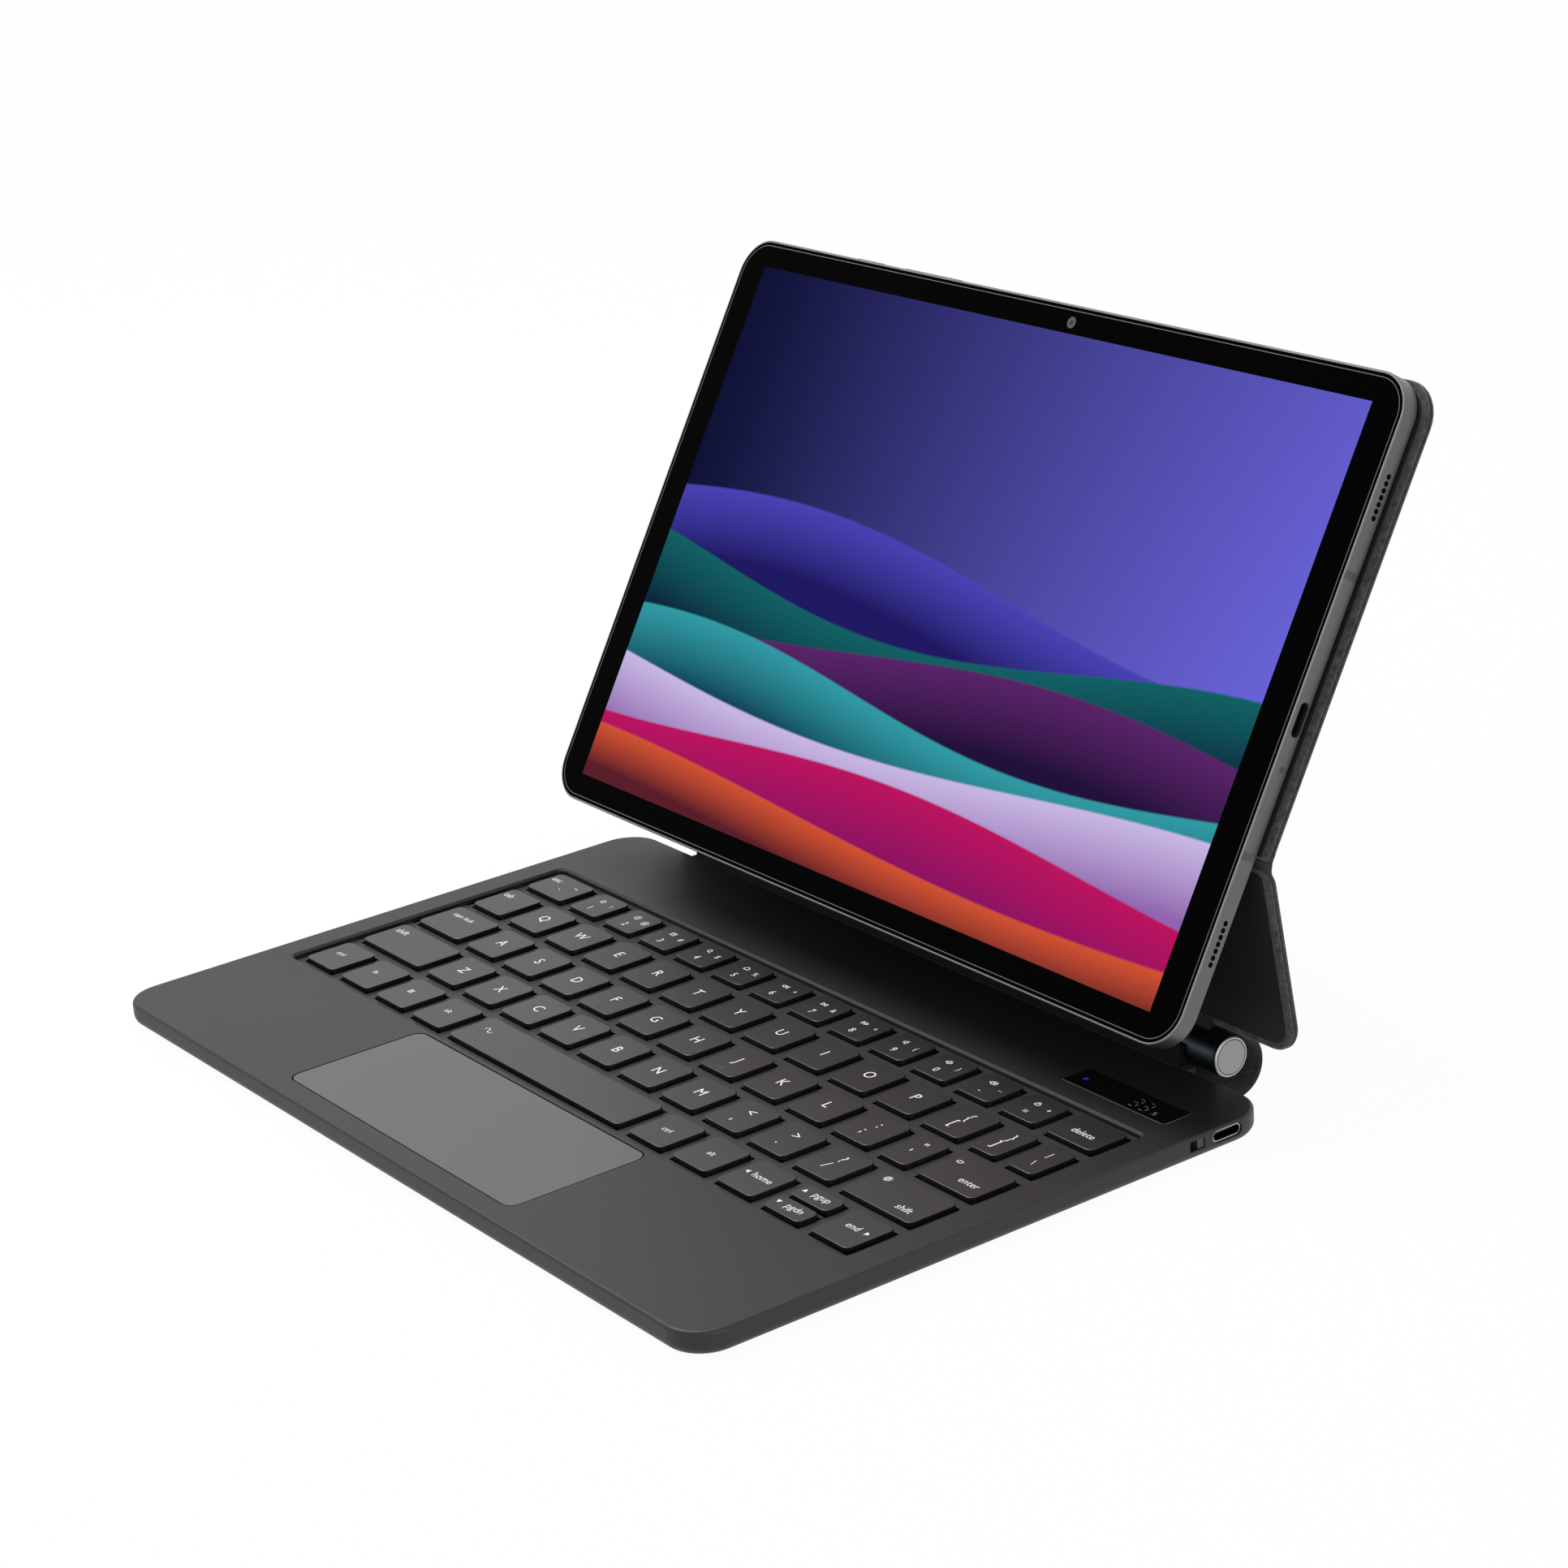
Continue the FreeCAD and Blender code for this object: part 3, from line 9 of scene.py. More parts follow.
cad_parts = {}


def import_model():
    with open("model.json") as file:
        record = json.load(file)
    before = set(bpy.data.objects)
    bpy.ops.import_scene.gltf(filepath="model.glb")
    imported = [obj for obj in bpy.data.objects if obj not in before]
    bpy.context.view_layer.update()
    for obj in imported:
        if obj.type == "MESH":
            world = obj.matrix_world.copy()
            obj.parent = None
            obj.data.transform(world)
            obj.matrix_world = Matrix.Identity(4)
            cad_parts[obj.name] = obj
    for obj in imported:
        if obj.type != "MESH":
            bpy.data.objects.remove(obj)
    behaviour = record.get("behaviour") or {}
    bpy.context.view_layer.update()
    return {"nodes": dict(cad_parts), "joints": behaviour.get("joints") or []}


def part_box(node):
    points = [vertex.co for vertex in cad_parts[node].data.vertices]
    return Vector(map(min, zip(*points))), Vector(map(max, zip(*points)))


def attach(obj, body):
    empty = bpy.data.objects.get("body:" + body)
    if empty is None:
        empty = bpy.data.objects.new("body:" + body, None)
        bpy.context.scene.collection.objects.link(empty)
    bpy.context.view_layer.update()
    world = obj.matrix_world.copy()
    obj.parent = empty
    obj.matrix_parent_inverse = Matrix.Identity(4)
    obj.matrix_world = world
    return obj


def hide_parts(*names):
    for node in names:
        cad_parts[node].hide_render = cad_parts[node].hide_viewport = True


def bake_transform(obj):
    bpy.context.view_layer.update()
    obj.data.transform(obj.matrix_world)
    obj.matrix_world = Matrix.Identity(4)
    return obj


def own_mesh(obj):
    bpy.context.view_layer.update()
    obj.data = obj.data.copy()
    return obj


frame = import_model()
nodes = frame["nodes"]
joints = {joint["name"]: joint for joint in frame["joints"]}

MM = 0.001
HINGE = Vector(joints["stand_hinge"]["pos_m"])
FOLD = Vector(joints["screen_fold"]["pos_m"])
ACROSS = Vector((1, 0, 0))
SCREEN_IN = Vector(joints["tablet_lift_off"]["axis"]).normalized()
SCREEN_UP = SCREEN_IN.cross(ACROSS)
BARREL_RADIUS = 5.1 * MM
STAND_LEAN = math.radians(8)
STAND_IN = Vector((0, -math.cos(STAND_LEAN), -math.sin(STAND_LEAN)))


def panel_frame(inward):
    """A panel's own frame: X along the fold, Y up the panel, Z out of its inner face."""
    up = inward.cross(ACROSS)
    return Matrix.Translation(FOLD) @ Matrix((ACROSS, up, inward)).transposed().to_4x4()


BASE = Matrix.Identity(4)
STAND = panel_frame(STAND_IN)
SCREEN = panel_frame(SCREEN_IN)


def box_in(node, place):
    """Lowest and highest corner of a CAD node, measured in a frame."""
    back = place.inverted()
    points = [back @ vertex.co for vertex in nodes[node].data.vertices]
    low = Vector([min(point[axis] for point in points) for axis in range(3)])
    high = Vector([max(point[axis] for point in points) for axis in range(3)])
    return low, high


# Material helpers

GLOSS_SPREAD = 0.05


def set_input(tree, socket, source):
    """Links a socket to another node's output, or sets it to a constant."""
    if isinstance(source, bpy.types.NodeSocket):
        tree.links.new(source, socket)
    else:
        socket.default_value = source


def add(tree, kind, inputs=None, **settings):
    """A new shader node, with its settings made and its inputs set or linked."""
    made = tree.nodes.new("ShaderNode" + kind)
    for name, setting in settings.items():
        setattr(made, name, setting)
    for socket, source in (inputs or {}).items():
        set_input(tree, made.inputs[socket], source)
    return made


def calc(tree, operation, first, second=0.0, third=0.0):
    return add(tree, "Math", {0: first, 1: second, 2: third}, operation=operation).outputs[0]


def mix(tree, share, first, second):
    """A blend of two colours: the first where the share is 0, the second where it is 1."""
    return add(tree, "Mix", {0: share, 6: first, 7: second}, data_type="RGBA").outputs[2]


def tint(colour, factor=1.0):
    return (colour[0] * factor, colour[1] * factor, colour[2] * factor, 1.0)


def plain(name, colour, roughness, metallic=0.0, **sockets):
    """A material with one shader. Returns the material, its tree and the shader."""
    made = bpy.data.materials.new(name)
    made.use_nodes = True
    shader = made.node_tree.nodes["Principled BSDF"]
    shader.inputs["Base Color"].default_value = tint(colour)
    shader.inputs["Roughness"].default_value = roughness
    shader.inputs["Metallic"].default_value = metallic
    for socket, setting in sockets.items():
        shader.inputs[socket.replace("_", " ")].default_value = setting
    return made, made.node_tree, shader


def place_of(tree):
    return add(tree, "TexCoord").outputs["Object"]


def distance_along(tree, direction, start=Vector()):
    """How far the surface lies along a direction, measured from a start."""
    product = add(tree, "VectorMath", {0: place_of(tree), 1: direction}, operation="DOT_PRODUCT")
    return calc(tree, "SUBTRACT", product.outputs["Value"], start.dot(direction))


def step_up(tree, value, start, width):
    """Rises from 0 to 1 over a short width."""
    return add(tree, "MapRange", {"Value": value, "From Min": start, "From Max": start + width}).outputs[0]


def speckle(tree, size, detail=2.0, where=None):
    """Noise whose features are about a given size in metres."""
    inputs = {"Vector": where or place_of(tree), "Scale": 1 / size, "Detail": detail}
    return add(tree, "TexNoise", inputs).outputs["Fac"]


def bump(tree, shader, height, depth):
    made = add(tree, "Bump", {"Height": height, "Strength": 1.0, "Distance": depth})
    tree.links.new(made.outputs["Normal"], shader.inputs["Normal"])


def grained(name, colour, roughness, grain, depth, metallic=0.0, patch=0.03, spread=0.12, **sockets):
    """A surface with fine grain, and slow patches in its colour and gloss."""
    made, tree, shader = plain(name, colour, roughness, metallic, **sockets)
    slow = speckle(tree, patch, 3.0)
    colours = mix(tree, slow, tint(colour, 1 - spread), tint(colour, 1 + spread))
    tree.links.new(colours, shader.inputs["Base Color"])
    ends = {"To Min": roughness - GLOSS_SPREAD, "To Max": roughness + GLOSS_SPREAD}
    gloss = add(tree, "MapRange", {"Value": slow, **ends})
    tree.links.new(gloss.outputs[0], shader.inputs["Roughness"])
    bump(tree, shader, speckle(tree, grain), depth)
    return made


def felted(name, dark, light, fibre, depth):
    """Napped cloth: light and dark fibres, with a soft sheen at grazing angles."""
    sheen = {"Sheen_Weight": 0.35, "Sheen_Roughness": 0.5, "Specular_IOR_Level": 0.2}
    made, tree, shader = plain(name, dark, 0.9, **sheen)
    fibres = calc(tree, "MULTIPLY", speckle(tree, fibre, 4.0), speckle(tree, fibre * 5, 2.0))
    share = add(tree, "MapRange", {"Value": fibres, "From Min": 0.15, "From Max": 0.4})
    tree.links.new(mix(tree, share.outputs[0], tint(dark), tint(light)), shader.inputs["Base Color"])
    bump(tree, shader, fibres, depth)
    return made


def brushed(name, colour, roughness, axis=0, grain=0.00015, stretch=40):
    """Metal with fine lines along one axis."""
    made, tree, shader = plain(name, colour, roughness, 1.0)
    scale = [1.0, 1.0, 1.0]
    scale[axis] = 1 / stretch
    lines = add(tree, "Mapping", {"Vector": place_of(tree), "Scale": scale}).outputs["Vector"]
    streaks = speckle(tree, grain, 2.0, lines)
    tree.links.new(mix(tree, streaks, tint(colour, 0.8), tint(colour, 1.2)), shader.inputs["Base Color"])
    bump(tree, shader, streaks, 0.00001)
    return made


# Each ring of an end cap starts at a share of the barrel's radius: a groove painted dark as painted shade, a
# bright rim that is partly silver metal and partly a painted highlight on its chamfer, and a dark side.
CAP_RINGS = [
    (0.83, (0.01, 0.01, 0.01, 1)),
    (0.88, (0.55, 0.55, 0.56, 1)),
    (0.985, (0.01, 0.014, 0.015, 1)),
]
RING_SHARP = 0.04 * MM


def turned_metal(name):
    """The end caps' finish: a matt disc inside turned rings, with painted shade in the groove and a painted
    highlight on the rim.
    """
    disc_grey = (0.3, 0.3, 0.31)
    made, tree, shader = plain(name, disc_grey, 0.42, 0.75)
    across = distance_along(tree, Vector((0, 1, 0)), HINGE)
    up = distance_along(tree, Vector((0, 0, 1)), HINGE)
    squares = calc(tree, "ADD", calc(tree, "MULTIPLY", across, across), calc(tree, "MULTIPLY", up, up))
    radius = calc(tree, "SQRT", squares)
    colours = tint(disc_grey)
    # The rings lay painted shade in the groove and a painted highlight on the rim.
    for share, colour in CAP_RINGS:
        colours = mix(tree, step_up(tree, radius, share * BARREL_RADIUS, RING_SHARP), colours, colour)
    tree.links.new(colours, shader.inputs["Base Color"])
    bump(tree, shader, speckle(tree, 0.0002), 0.000008)
    return made


BAND_MIDDLES = (0.3 * MM, 67.8 * MM)
BAND_HALF = 1.0 * MM
RIM_HIGHLIGHT_WIDTH = 0.12 * MM
SHARP = 0.05 * MM
FOOT_LEVEL = 0.12 * MM


def tablet_metal(name):
    """Matt metal with a painted highlight along its front rim, and two darker bands across its sides and
    back.
    """
    grey = (0.135, 0.133, 0.137)
    made, tree, shader = plain(name, grey, 0.36, 0.85)
    colours = mix(tree, speckle(tree, 0.02, 3.0), tint(grey, 0.9), tint(grey, 1.1))
    height = distance_along(tree, SCREEN_UP, FOLD)
    for middle in BAND_MIDDLES:
        off = calc(tree, "ABSOLUTE", calc(tree, "SUBTRACT", height, middle))
        colours = mix(tree, step_up(tree, off, BAND_HALF, SHARP), tint(grey, 0.7), colours)
    front = box_in("tablet_body", SCREEN)[1].z
    # Painted highlight: the front rim is painted lighter, as the light that its edge catches.
    rim = step_up(tree, distance_along(tree, SCREEN_IN, FOLD), front - RIM_HIGHLIGHT_WIDTH, SHARP)
    tree.links.new(mix(tree, rim, colours, (0.24, 0.24, 0.245, 1)), shader.inputs["Base Color"])
    bump(tree, shader, speckle(tree, 0.0002), 0.000006)
    return made


def saddle_shade_and_highlight(name):
    """Dark coating. The wall under the tablet is painted near black as painted shade, and the foot that lies
    level with the deck is painted lighter as painted light.
    """
    made, tree, shader = plain(name, (0.002, 0.002, 0.002), 0.5, Specular_IOR_Level=0.15)
    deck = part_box("top_deck")[1]
    # Painted shade on the wall above the foot, and painted light on the foot.
    shaded_wall = step_up(tree, distance_along(tree, Vector((0, 0, 1)), deck), FOOT_LEVEL, SHARP)
    foot = mix(tree, speckle(tree, 0.001), (0.035, 0.035, 0.036, 1), (0.045, 0.045, 0.046, 1))
    tree.links.new(mix(tree, shaded_wall, foot, (0.002, 0.002, 0.0022, 1)), shader.inputs["Base Color"])
    return made


def socket_metal_shaded_inside(name):
    """Bright at the socket's mouth, and painted dark further in, as painted shade inside the socket."""
    made, tree, shader = plain(name, (0.3, 0.29, 0.28), 0.3, 1.0)
    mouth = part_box("charging_socket")[1].x
    lip = step_up(tree, distance_along(tree, ACROSS), mouth - 0.5 * MM, 0.3 * MM)
    bright = mix(tree, speckle(tree, 0.0004), (0.32, 0.31, 0.30, 1), (0.42, 0.41, 0.40, 1))
    # Painted shade: everything deeper than the mouth is painted near black.
    tree.links.new(mix(tree, lip, (0.012, 0.012, 0.012, 1), bright), shader.inputs["Base Color"])
    return made


def glowing(name, colour, strength):
    made, tree, shader = plain(name, (0.01, 0.01, 0.01), 0.4, Emission_Strength=strength)
    shader.inputs["Emission Color"].default_value = tint(colour)
    return made


# Wallpaper: a clear sky over long waves, one behind the other.
# Each wave has its height, swing, turns, shift, and the colours of its crest and foot.
WAVES = [
    (0.54, 0.060, 4.2, 0.6, (0.065, 0.055, 0.46), (0.012, 0.008, 0.12)),
    (0.46, 0.050, 5.0, 2.6, (0.004, 0.12, 0.13), (0.002, 0.02, 0.045)),
    (0.38, 0.045, 4.6, 4.4, (0.10, 0.016, 0.14), (0.014, 0.004, 0.04)),
    (0.31, 0.040, 5.4, 0.9, (0.03, 0.33, 0.38), (0.003, 0.05, 0.09)),
    (0.245, 0.035, 4.4, 3.1, (0.58, 0.48, 0.78), (0.28, 0.13, 0.42)),
    (0.155, 0.030, 5.0, 5.2, (0.50, 0.005, 0.11), (0.24, 0.005, 0.12)),
    (0.08, 0.025, 4.1, 1.6, (0.66, 0.085, 0.03), (0.10, 0.012, 0.02)),
]
WAVE_FADE = 0.13
WAVE_EDGE = 0.004


def wallpaper(name):
    """A picture that glows by itself: each wave is laid over the ones behind it."""
    black = (0.002, 0.002, 0.003)
    made, tree, shader = plain(name, black, 0.3, Emission_Strength=1.0, Specular_IOR_Level=0.0)
    low, high = box_in("tablet_screen", SCREEN)
    corner = SCREEN @ low
    across = calc(tree, "DIVIDE", distance_along(tree, ACROSS, corner), high.x - low.x)
    height = calc(tree, "DIVIDE", distance_along(tree, SCREEN_UP, corner), high.y - low.y)
    falling = calc(tree, "MULTIPLY_ADD", height, -0.35, 1.2)
    glow = calc(tree, "MULTIPLY", calc(tree, "POWER", across, 1.4), falling)
    picture = mix(tree, glow, (0.003, 0.004, 0.034, 1), (0.135, 0.12, 0.66, 1))
    for base, swing, turns, shift, crest, foot in WAVES:
        wave = calc(tree, "SINE", calc(tree, "MULTIPLY_ADD", across, turns, shift))
        below = calc(tree, "SUBTRACT", calc(tree, "MULTIPLY_ADD", wave, swing, base), height)
        shaded = mix(tree, step_up(tree, below, 0.0, min(WAVE_FADE, base)), tint(crest), tint(foot))
        picture = mix(tree, step_up(tree, below, 0.0, WAVE_EDGE), picture, shaded)
    tree.links.new(picture, shader.inputs["Emission Color"])
    return made


SOFT_TOUCH = grained("soft_touch", (0.0145, 0.0145, 0.015), 0.46, 0.00035, 0.00002, Specular_IOR_Level=0.38)
SADDLE_SHADE_AND_HIGHLIGHT = saddle_shade_and_highlight("saddle_shade_and_highlight")
HINGE_COATING = grained("hinge_coating", (0.006, 0.006, 0.0065), 0.5, 0.0004, 0.00001, Specular_IOR_Level=0.3)
KEY_FACE = grained("key_face", (0.008, 0.008, 0.0083), 0.42, 0.0003, 0.000012, Specular_IOR_Level=0.72)
# Painted shade: the caps' sides are a darker copy of the cap plastic.
SHADED_KEY_SIDE = grained("key_side_painted_shade", (0.003, 0.003, 0.0033), 0.5, 0.0003, 0.000012, Specular_IOR_Level=0.15)
LEGEND = grained("legend", (0.86, 0.86, 0.87), 0.6, 0.0002, 0.000002, spread=0.05)
FAINT_LEGEND = grained("faint_legend", (0.16, 0.16, 0.16), 0.5, 0.0002, 0.000002, spread=0.05)
PAD_SURFACE = grained("pad_surface", (0.085, 0.083, 0.081), 0.34, 0.0004, 0.000006, spread=0.04)
BLACK_FILM_AND_MARK_SHADE = grained("black_film_and_mark_shade", (0.008, 0.008, 0.009), 0.5, 0.0005, 0.00001)
WELL_FLOOR = grained("well_floor", (0.02, 0.02, 0.0205), 0.5, 0.00035, 0.00002, Specular_IOR_Level=0.38)
PALE_FILM = grained("pale_film", (0.6, 0.6, 0.6), 0.4, 0.001, 0.00001)
WINDOW_GLOSS = grained("window_gloss", (0.004, 0.004, 0.005), 0.12, 0.002, 0.000002)
SWITCH_PLASTIC = grained("switch_plastic", (0.04, 0.04, 0.042), 0.45, 0.0003, 0.00001)
STEEL = brushed("steel", (0.42, 0.42, 0.43), 0.32)
SOCKET_STEEL_SHADED_INSIDE = socket_metal_shaded_inside("socket_steel")
BARREL_METAL = brushed("barrel_metal", (0.048, 0.064, 0.069), 0.38)
CAP_METAL = turned_metal("cap_metal")
CELL_FOIL = brushed("cell_foil", (0.35, 0.35, 0.37), 0.4)
BOARD_MASK = grained("board_mask", (0.01, 0.06, 0.03), 0.4, 0.001, 0.00002)
PLUG_PLASTIC = grained("plug_plastic", (0.03, 0.03, 0.03), 0.5, 0.0005, 0.00002)
CARD = grained("card", (0.05, 0.048, 0.045), 0.8, 0.0006, 0.00004)
OUTER_CLOTH = felted("outer_cloth", (0.016, 0.0145, 0.0145), (0.05, 0.046, 0.046), 0.00025, 0.00008)
HEM_CLOTH = felted("hem_cloth", (0.022, 0.0195, 0.0195), (0.085, 0.077, 0.077), 0.0003, 0.00012)
LINING = grained("lining", (0.008, 0.008, 0.0085), 0.62, 0.0004, 0.00004)
UNDERSIDE = grained("underside", (0.018, 0.018, 0.0185), 0.6, 0.0009, 0.00008)
TABLET_METAL_WITH_RIM_HIGHLIGHT = tablet_metal("tablet_metal")
# Painted highlight along the cover glass's edge.
GLASS_HIGHLIGHT = grained("painted_glass_highlight", (0.13, 0.13, 0.133), 0.3, 0.0003, 0.000002)
GLASS = grained("bezel_glass", (0.0006, 0.0006, 0.0007), 0.12, 0.004, 0.0000005, IOR=1.05)
LENS = grained("lens_glass", (0.003, 0.003, 0.006), 0.08, 0.002, 0.0000005)
LENS_RING = grained("lens_ring", (0.05, 0.05, 0.052), 0.4, 0.0003, 0.000002)
HOLE_SHADE = grained("painted_hole_shade", (0.002, 0.002, 0.002), 0.8, 0.0003, 0.00001, IOR=1.05)
MIC_MESH = grained("mic_mesh", (0.05, 0.05, 0.052), 0.6, 0.0002, 0.00001)
READING = grained("charge_reading", (0.3, 0.29, 0.29), 0.6, 0.0002, 0.000002)
SCREEN_PICTURE = wallpaper("screen_picture")
BLUE_LIGHT = glowing("blue_light", (0.02, 0.02, 0.9), 0.45)

NODE_FINISH = {
    SOFT_TOUCH: ["top_deck", "bottom_shell"],
    SADDLE_SHADE_AND_HIGHLIGHT: ["hinge_saddle"],
    PAD_SURFACE: ["trackpad"],
    BLACK_FILM_AND_MARK_SHADE: ["switch_membrane"],
    PALE_FILM: ["light_guide"],
    WINDOW_GLOSS: ["status_window"],
    SWITCH_PLASTIC: ["power_switch"],
    STEEL: ["key_plate", "hinge_pins", "closing_magnets", "hold_magnets"],
    HINGE_COATING: ["stand_leaf"],
    SOCKET_STEEL_SHADED_INSIDE: ["charging_socket"],
    BARREL_METAL: ["barrel_tube"],
    CAP_METAL: ["end_caps"],
    CELL_FOIL: ["battery_cells"],
    BOARD_MASK: ["main_board", "trackpad_board"],
    PLUG_PLASTIC: ["pin_supports"],
    CARD: ["stand_card", "panel_card"],
    TABLET_METAL_WITH_RIM_HIGHLIGHT: ["tablet_body", "tablet_power_key", "tablet_volume_key"],
    GLASS: ["tablet_glass"],
    LENS: ["tablet_lenses"],
    SCREEN_PICTURE: ["tablet_screen"],
}


def paint_nodes():
    for finish, names in NODE_FINISH.items():
        for name in names:
            mesh = nodes[name].data
            mesh.materials.clear()
            mesh.materials.append(finish)


# Mesh helpers

MERGE = 1e-7
# How far a flat detail stands off the surface under it.
DETAIL_LIFT = 0.01 * MM


def new_piece(name, bm, materials, body, smooth_angle=35):
    """Makes a piece from a bmesh. It rides on a body, if one is given."""
    bmesh.ops.remove_doubles(bm, verts=bm.verts, dist=MERGE)
    bmesh.ops.recalc_face_normals(bm, faces=bm.faces)
    mesh = bpy.data.meshes.new(name)
    bm.to_mesh(mesh)
    bm.free()
    for finish in materials:
        mesh.materials.append(finish)
    mesh.shade_smooth()
    mesh.set_sharp_from_angle(angle=math.radians(smooth_angle))
    piece = bpy.data.objects.new(name, mesh)
    bpy.context.scene.collection.objects.link(piece)
    if body:
        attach(piece, body)
    return piece


def rounded_outline(low, high, radii, inset=0.0, steps=8):
    """Points round a rectangle, moved inwards by an inset. The radii go round from the upper right corner."""
    corners = [(high.x, high.y, 1, 1), (low.x, high.y, -1, 1), (low.x, low.y, -1, -1), (high.x, low.y, 1, -1)]
    points = []
    for number, ((x, y, way_x, way_y), radius) in enumerate(zip(corners, radii)):
        setback = max(radius, inset)
        for step in range(steps + 1):
            angle = math.pi / 2 * (number + step / steps)
            points.append((x - way_x * setback + (setback - inset) * math.cos(angle),
                           y - way_y * setback + (setback - inset) * math.sin(angle)))
    return points


def skin(bm, rings, slots):
    """Bands of faces between rings of points, each with its own material. Returns the rings' vertices."""
    loops = [[bm.verts.new(point) for point in ring] for ring in rings]
    for lower, upper, slot in zip(loops, loops[1:], slots):
        for start in range(len(lower)):
            end = (start + 1) % len(lower)
            bm.faces.new((lower[start], lower[end], upper[end], upper[start])).material_index = slot
    return loops


def slab(bm, low, high, radii, profile, place=BASE, steps=8):
    """A rounded plate. The profile lists inset, height and material, from its lower face to its upper one."""
    rings = [
        [place @ Vector((x, y, height)) for x, y in rounded_outline(low, high, radii, inset, steps)]
        for inset, height, slot in profile
    ]
    loops = skin(bm, rings, [slot for inset, height, slot in profile[1:]])
    bm.faces.new(loops[0]).material_index = profile[0][2]
    bm.faces.new(loops[-1]).material_index = profile[-1][2]


def disc(bm, middle, radius, place=BASE, corners=16):
    """A flat disc that faces along its frame's Z."""
    ring = []
    for number in range(corners):
        angle = 2 * math.pi * number / corners
        spoke = Vector((math.cos(angle), math.sin(angle), 0)) * radius
        ring.append(bm.verts.new(place @ (middle + spoke)))
    bm.faces.new(ring)


def rectangle(bm, low_x, high_x, low_y, high_y, height):
    """A flat level rectangle."""
    corners = ((low_x, low_y), (high_x, low_y), (high_x, high_y), (low_x, high_y))
    bm.faces.new([bm.verts.new((x, y, height)) for x, y in corners])


# Key caps

KEY_CORNER = 1.8 * MM
# The web between the keys: its height over the caps' lower edge, and its gap round each cap.
FRAME_LIFT = 0.05 * MM
FRAME_GAP = 0.25 * MM
LIFT_CORNER = 1.5 * MM
SAME_PLACE = 1e-5
SINGLE_KEYS = [
    "ctrl_left_key", "fn_key", "menu_key", "alt_left_key", "space_key", "ctrl_right_key", "alt_right_key",
    "arrow_left_key", "arrow_down_key", "arrow_up_key", "arrow_right_key",
    "shift_left_key", "shift_right_key",
    "caps_key", "enter_key", "tab_key", "backslash_key", "esc_key", "delete_key",
]
KEY_ROWS = ["bottom_row", "home_row", "letter_row", "digit_row"]


def solids_of(node):
    """The boxes of a node's separate solids, from left to right."""
    bm = bmesh.new()
    bm.from_mesh(nodes[node].data)
    bmesh.ops.remove_doubles(bm, verts=bm.verts, dist=1e-6)
    left = set(bm.verts)
    boxes = []
    while left:
        reached = [left.pop()]
        for vertex in reached:
            for edge in vertex.link_edges:
                other = edge.other_vert(vertex)
                if other in left:
                    left.remove(other)
                    reached.append(other)
        boxes.append([Vector([pick(vertex.co[axis] for vertex in reached) for axis in range(3)])
                      for pick in (min, max)])
    bm.free()
    return sorted(boxes, key=lambda box: box[0].x)


def key_caps(node):
    """Moulded caps in place of the node's plain ones: drawn sides and a small bevel round the top. The sides
    take a darker copy of the cap plastic, as painted shade.
    """
    bm = bmesh.new()
    for low, high in solids_of(node):
        profile = [
            (0.00 * MM, low.z, 1),
            (0.06 * MM, high.z - 0.20 * MM, 1),
            (0.10 * MM, high.z - 0.07 * MM, 1),
            (0.22 * MM, high.z, 0),
        ]
        slab(bm, low, high, [KEY_CORNER] * 4, profile, steps=5)
    caps = new_piece(node + "_caps", bm, [KEY_FACE, SHADED_KEY_SIDE], node, smooth_angle=20)
    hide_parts(node)


# Key legends: words are set by their middle, as shares of the key's width and depth.

LEGEND_LIFT = 0.012 * MM
STROKE = 0.28 * MM


def arc(x, y, radius, start=0, end=360, steps=14):
    """Points on an arc, from one angle to another in degrees."""
    turns = [math.radians(start + (end - start) * step / steps) for step in range(steps + 1)]
    return [(x + radius * math.cos(turn), y + radius * math.sin(turn)) for turn in turns]


def rays(count, inner, outer):
    """Short lines that point outwards all round."""
    turns = [2 * math.pi * number / count for number in range(count)]
    return [[(far * math.cos(turn), far * math.sin(turn)) for far in (inner, outer)] for turn in turns]


def outlined(low_x, low_y, high_x, high_y):
    """A line round a rectangle."""
    return [(low_x, low_y), (high_x, low_y), (high_x, high_y), (low_x, high_y), (low_x, low_y)]


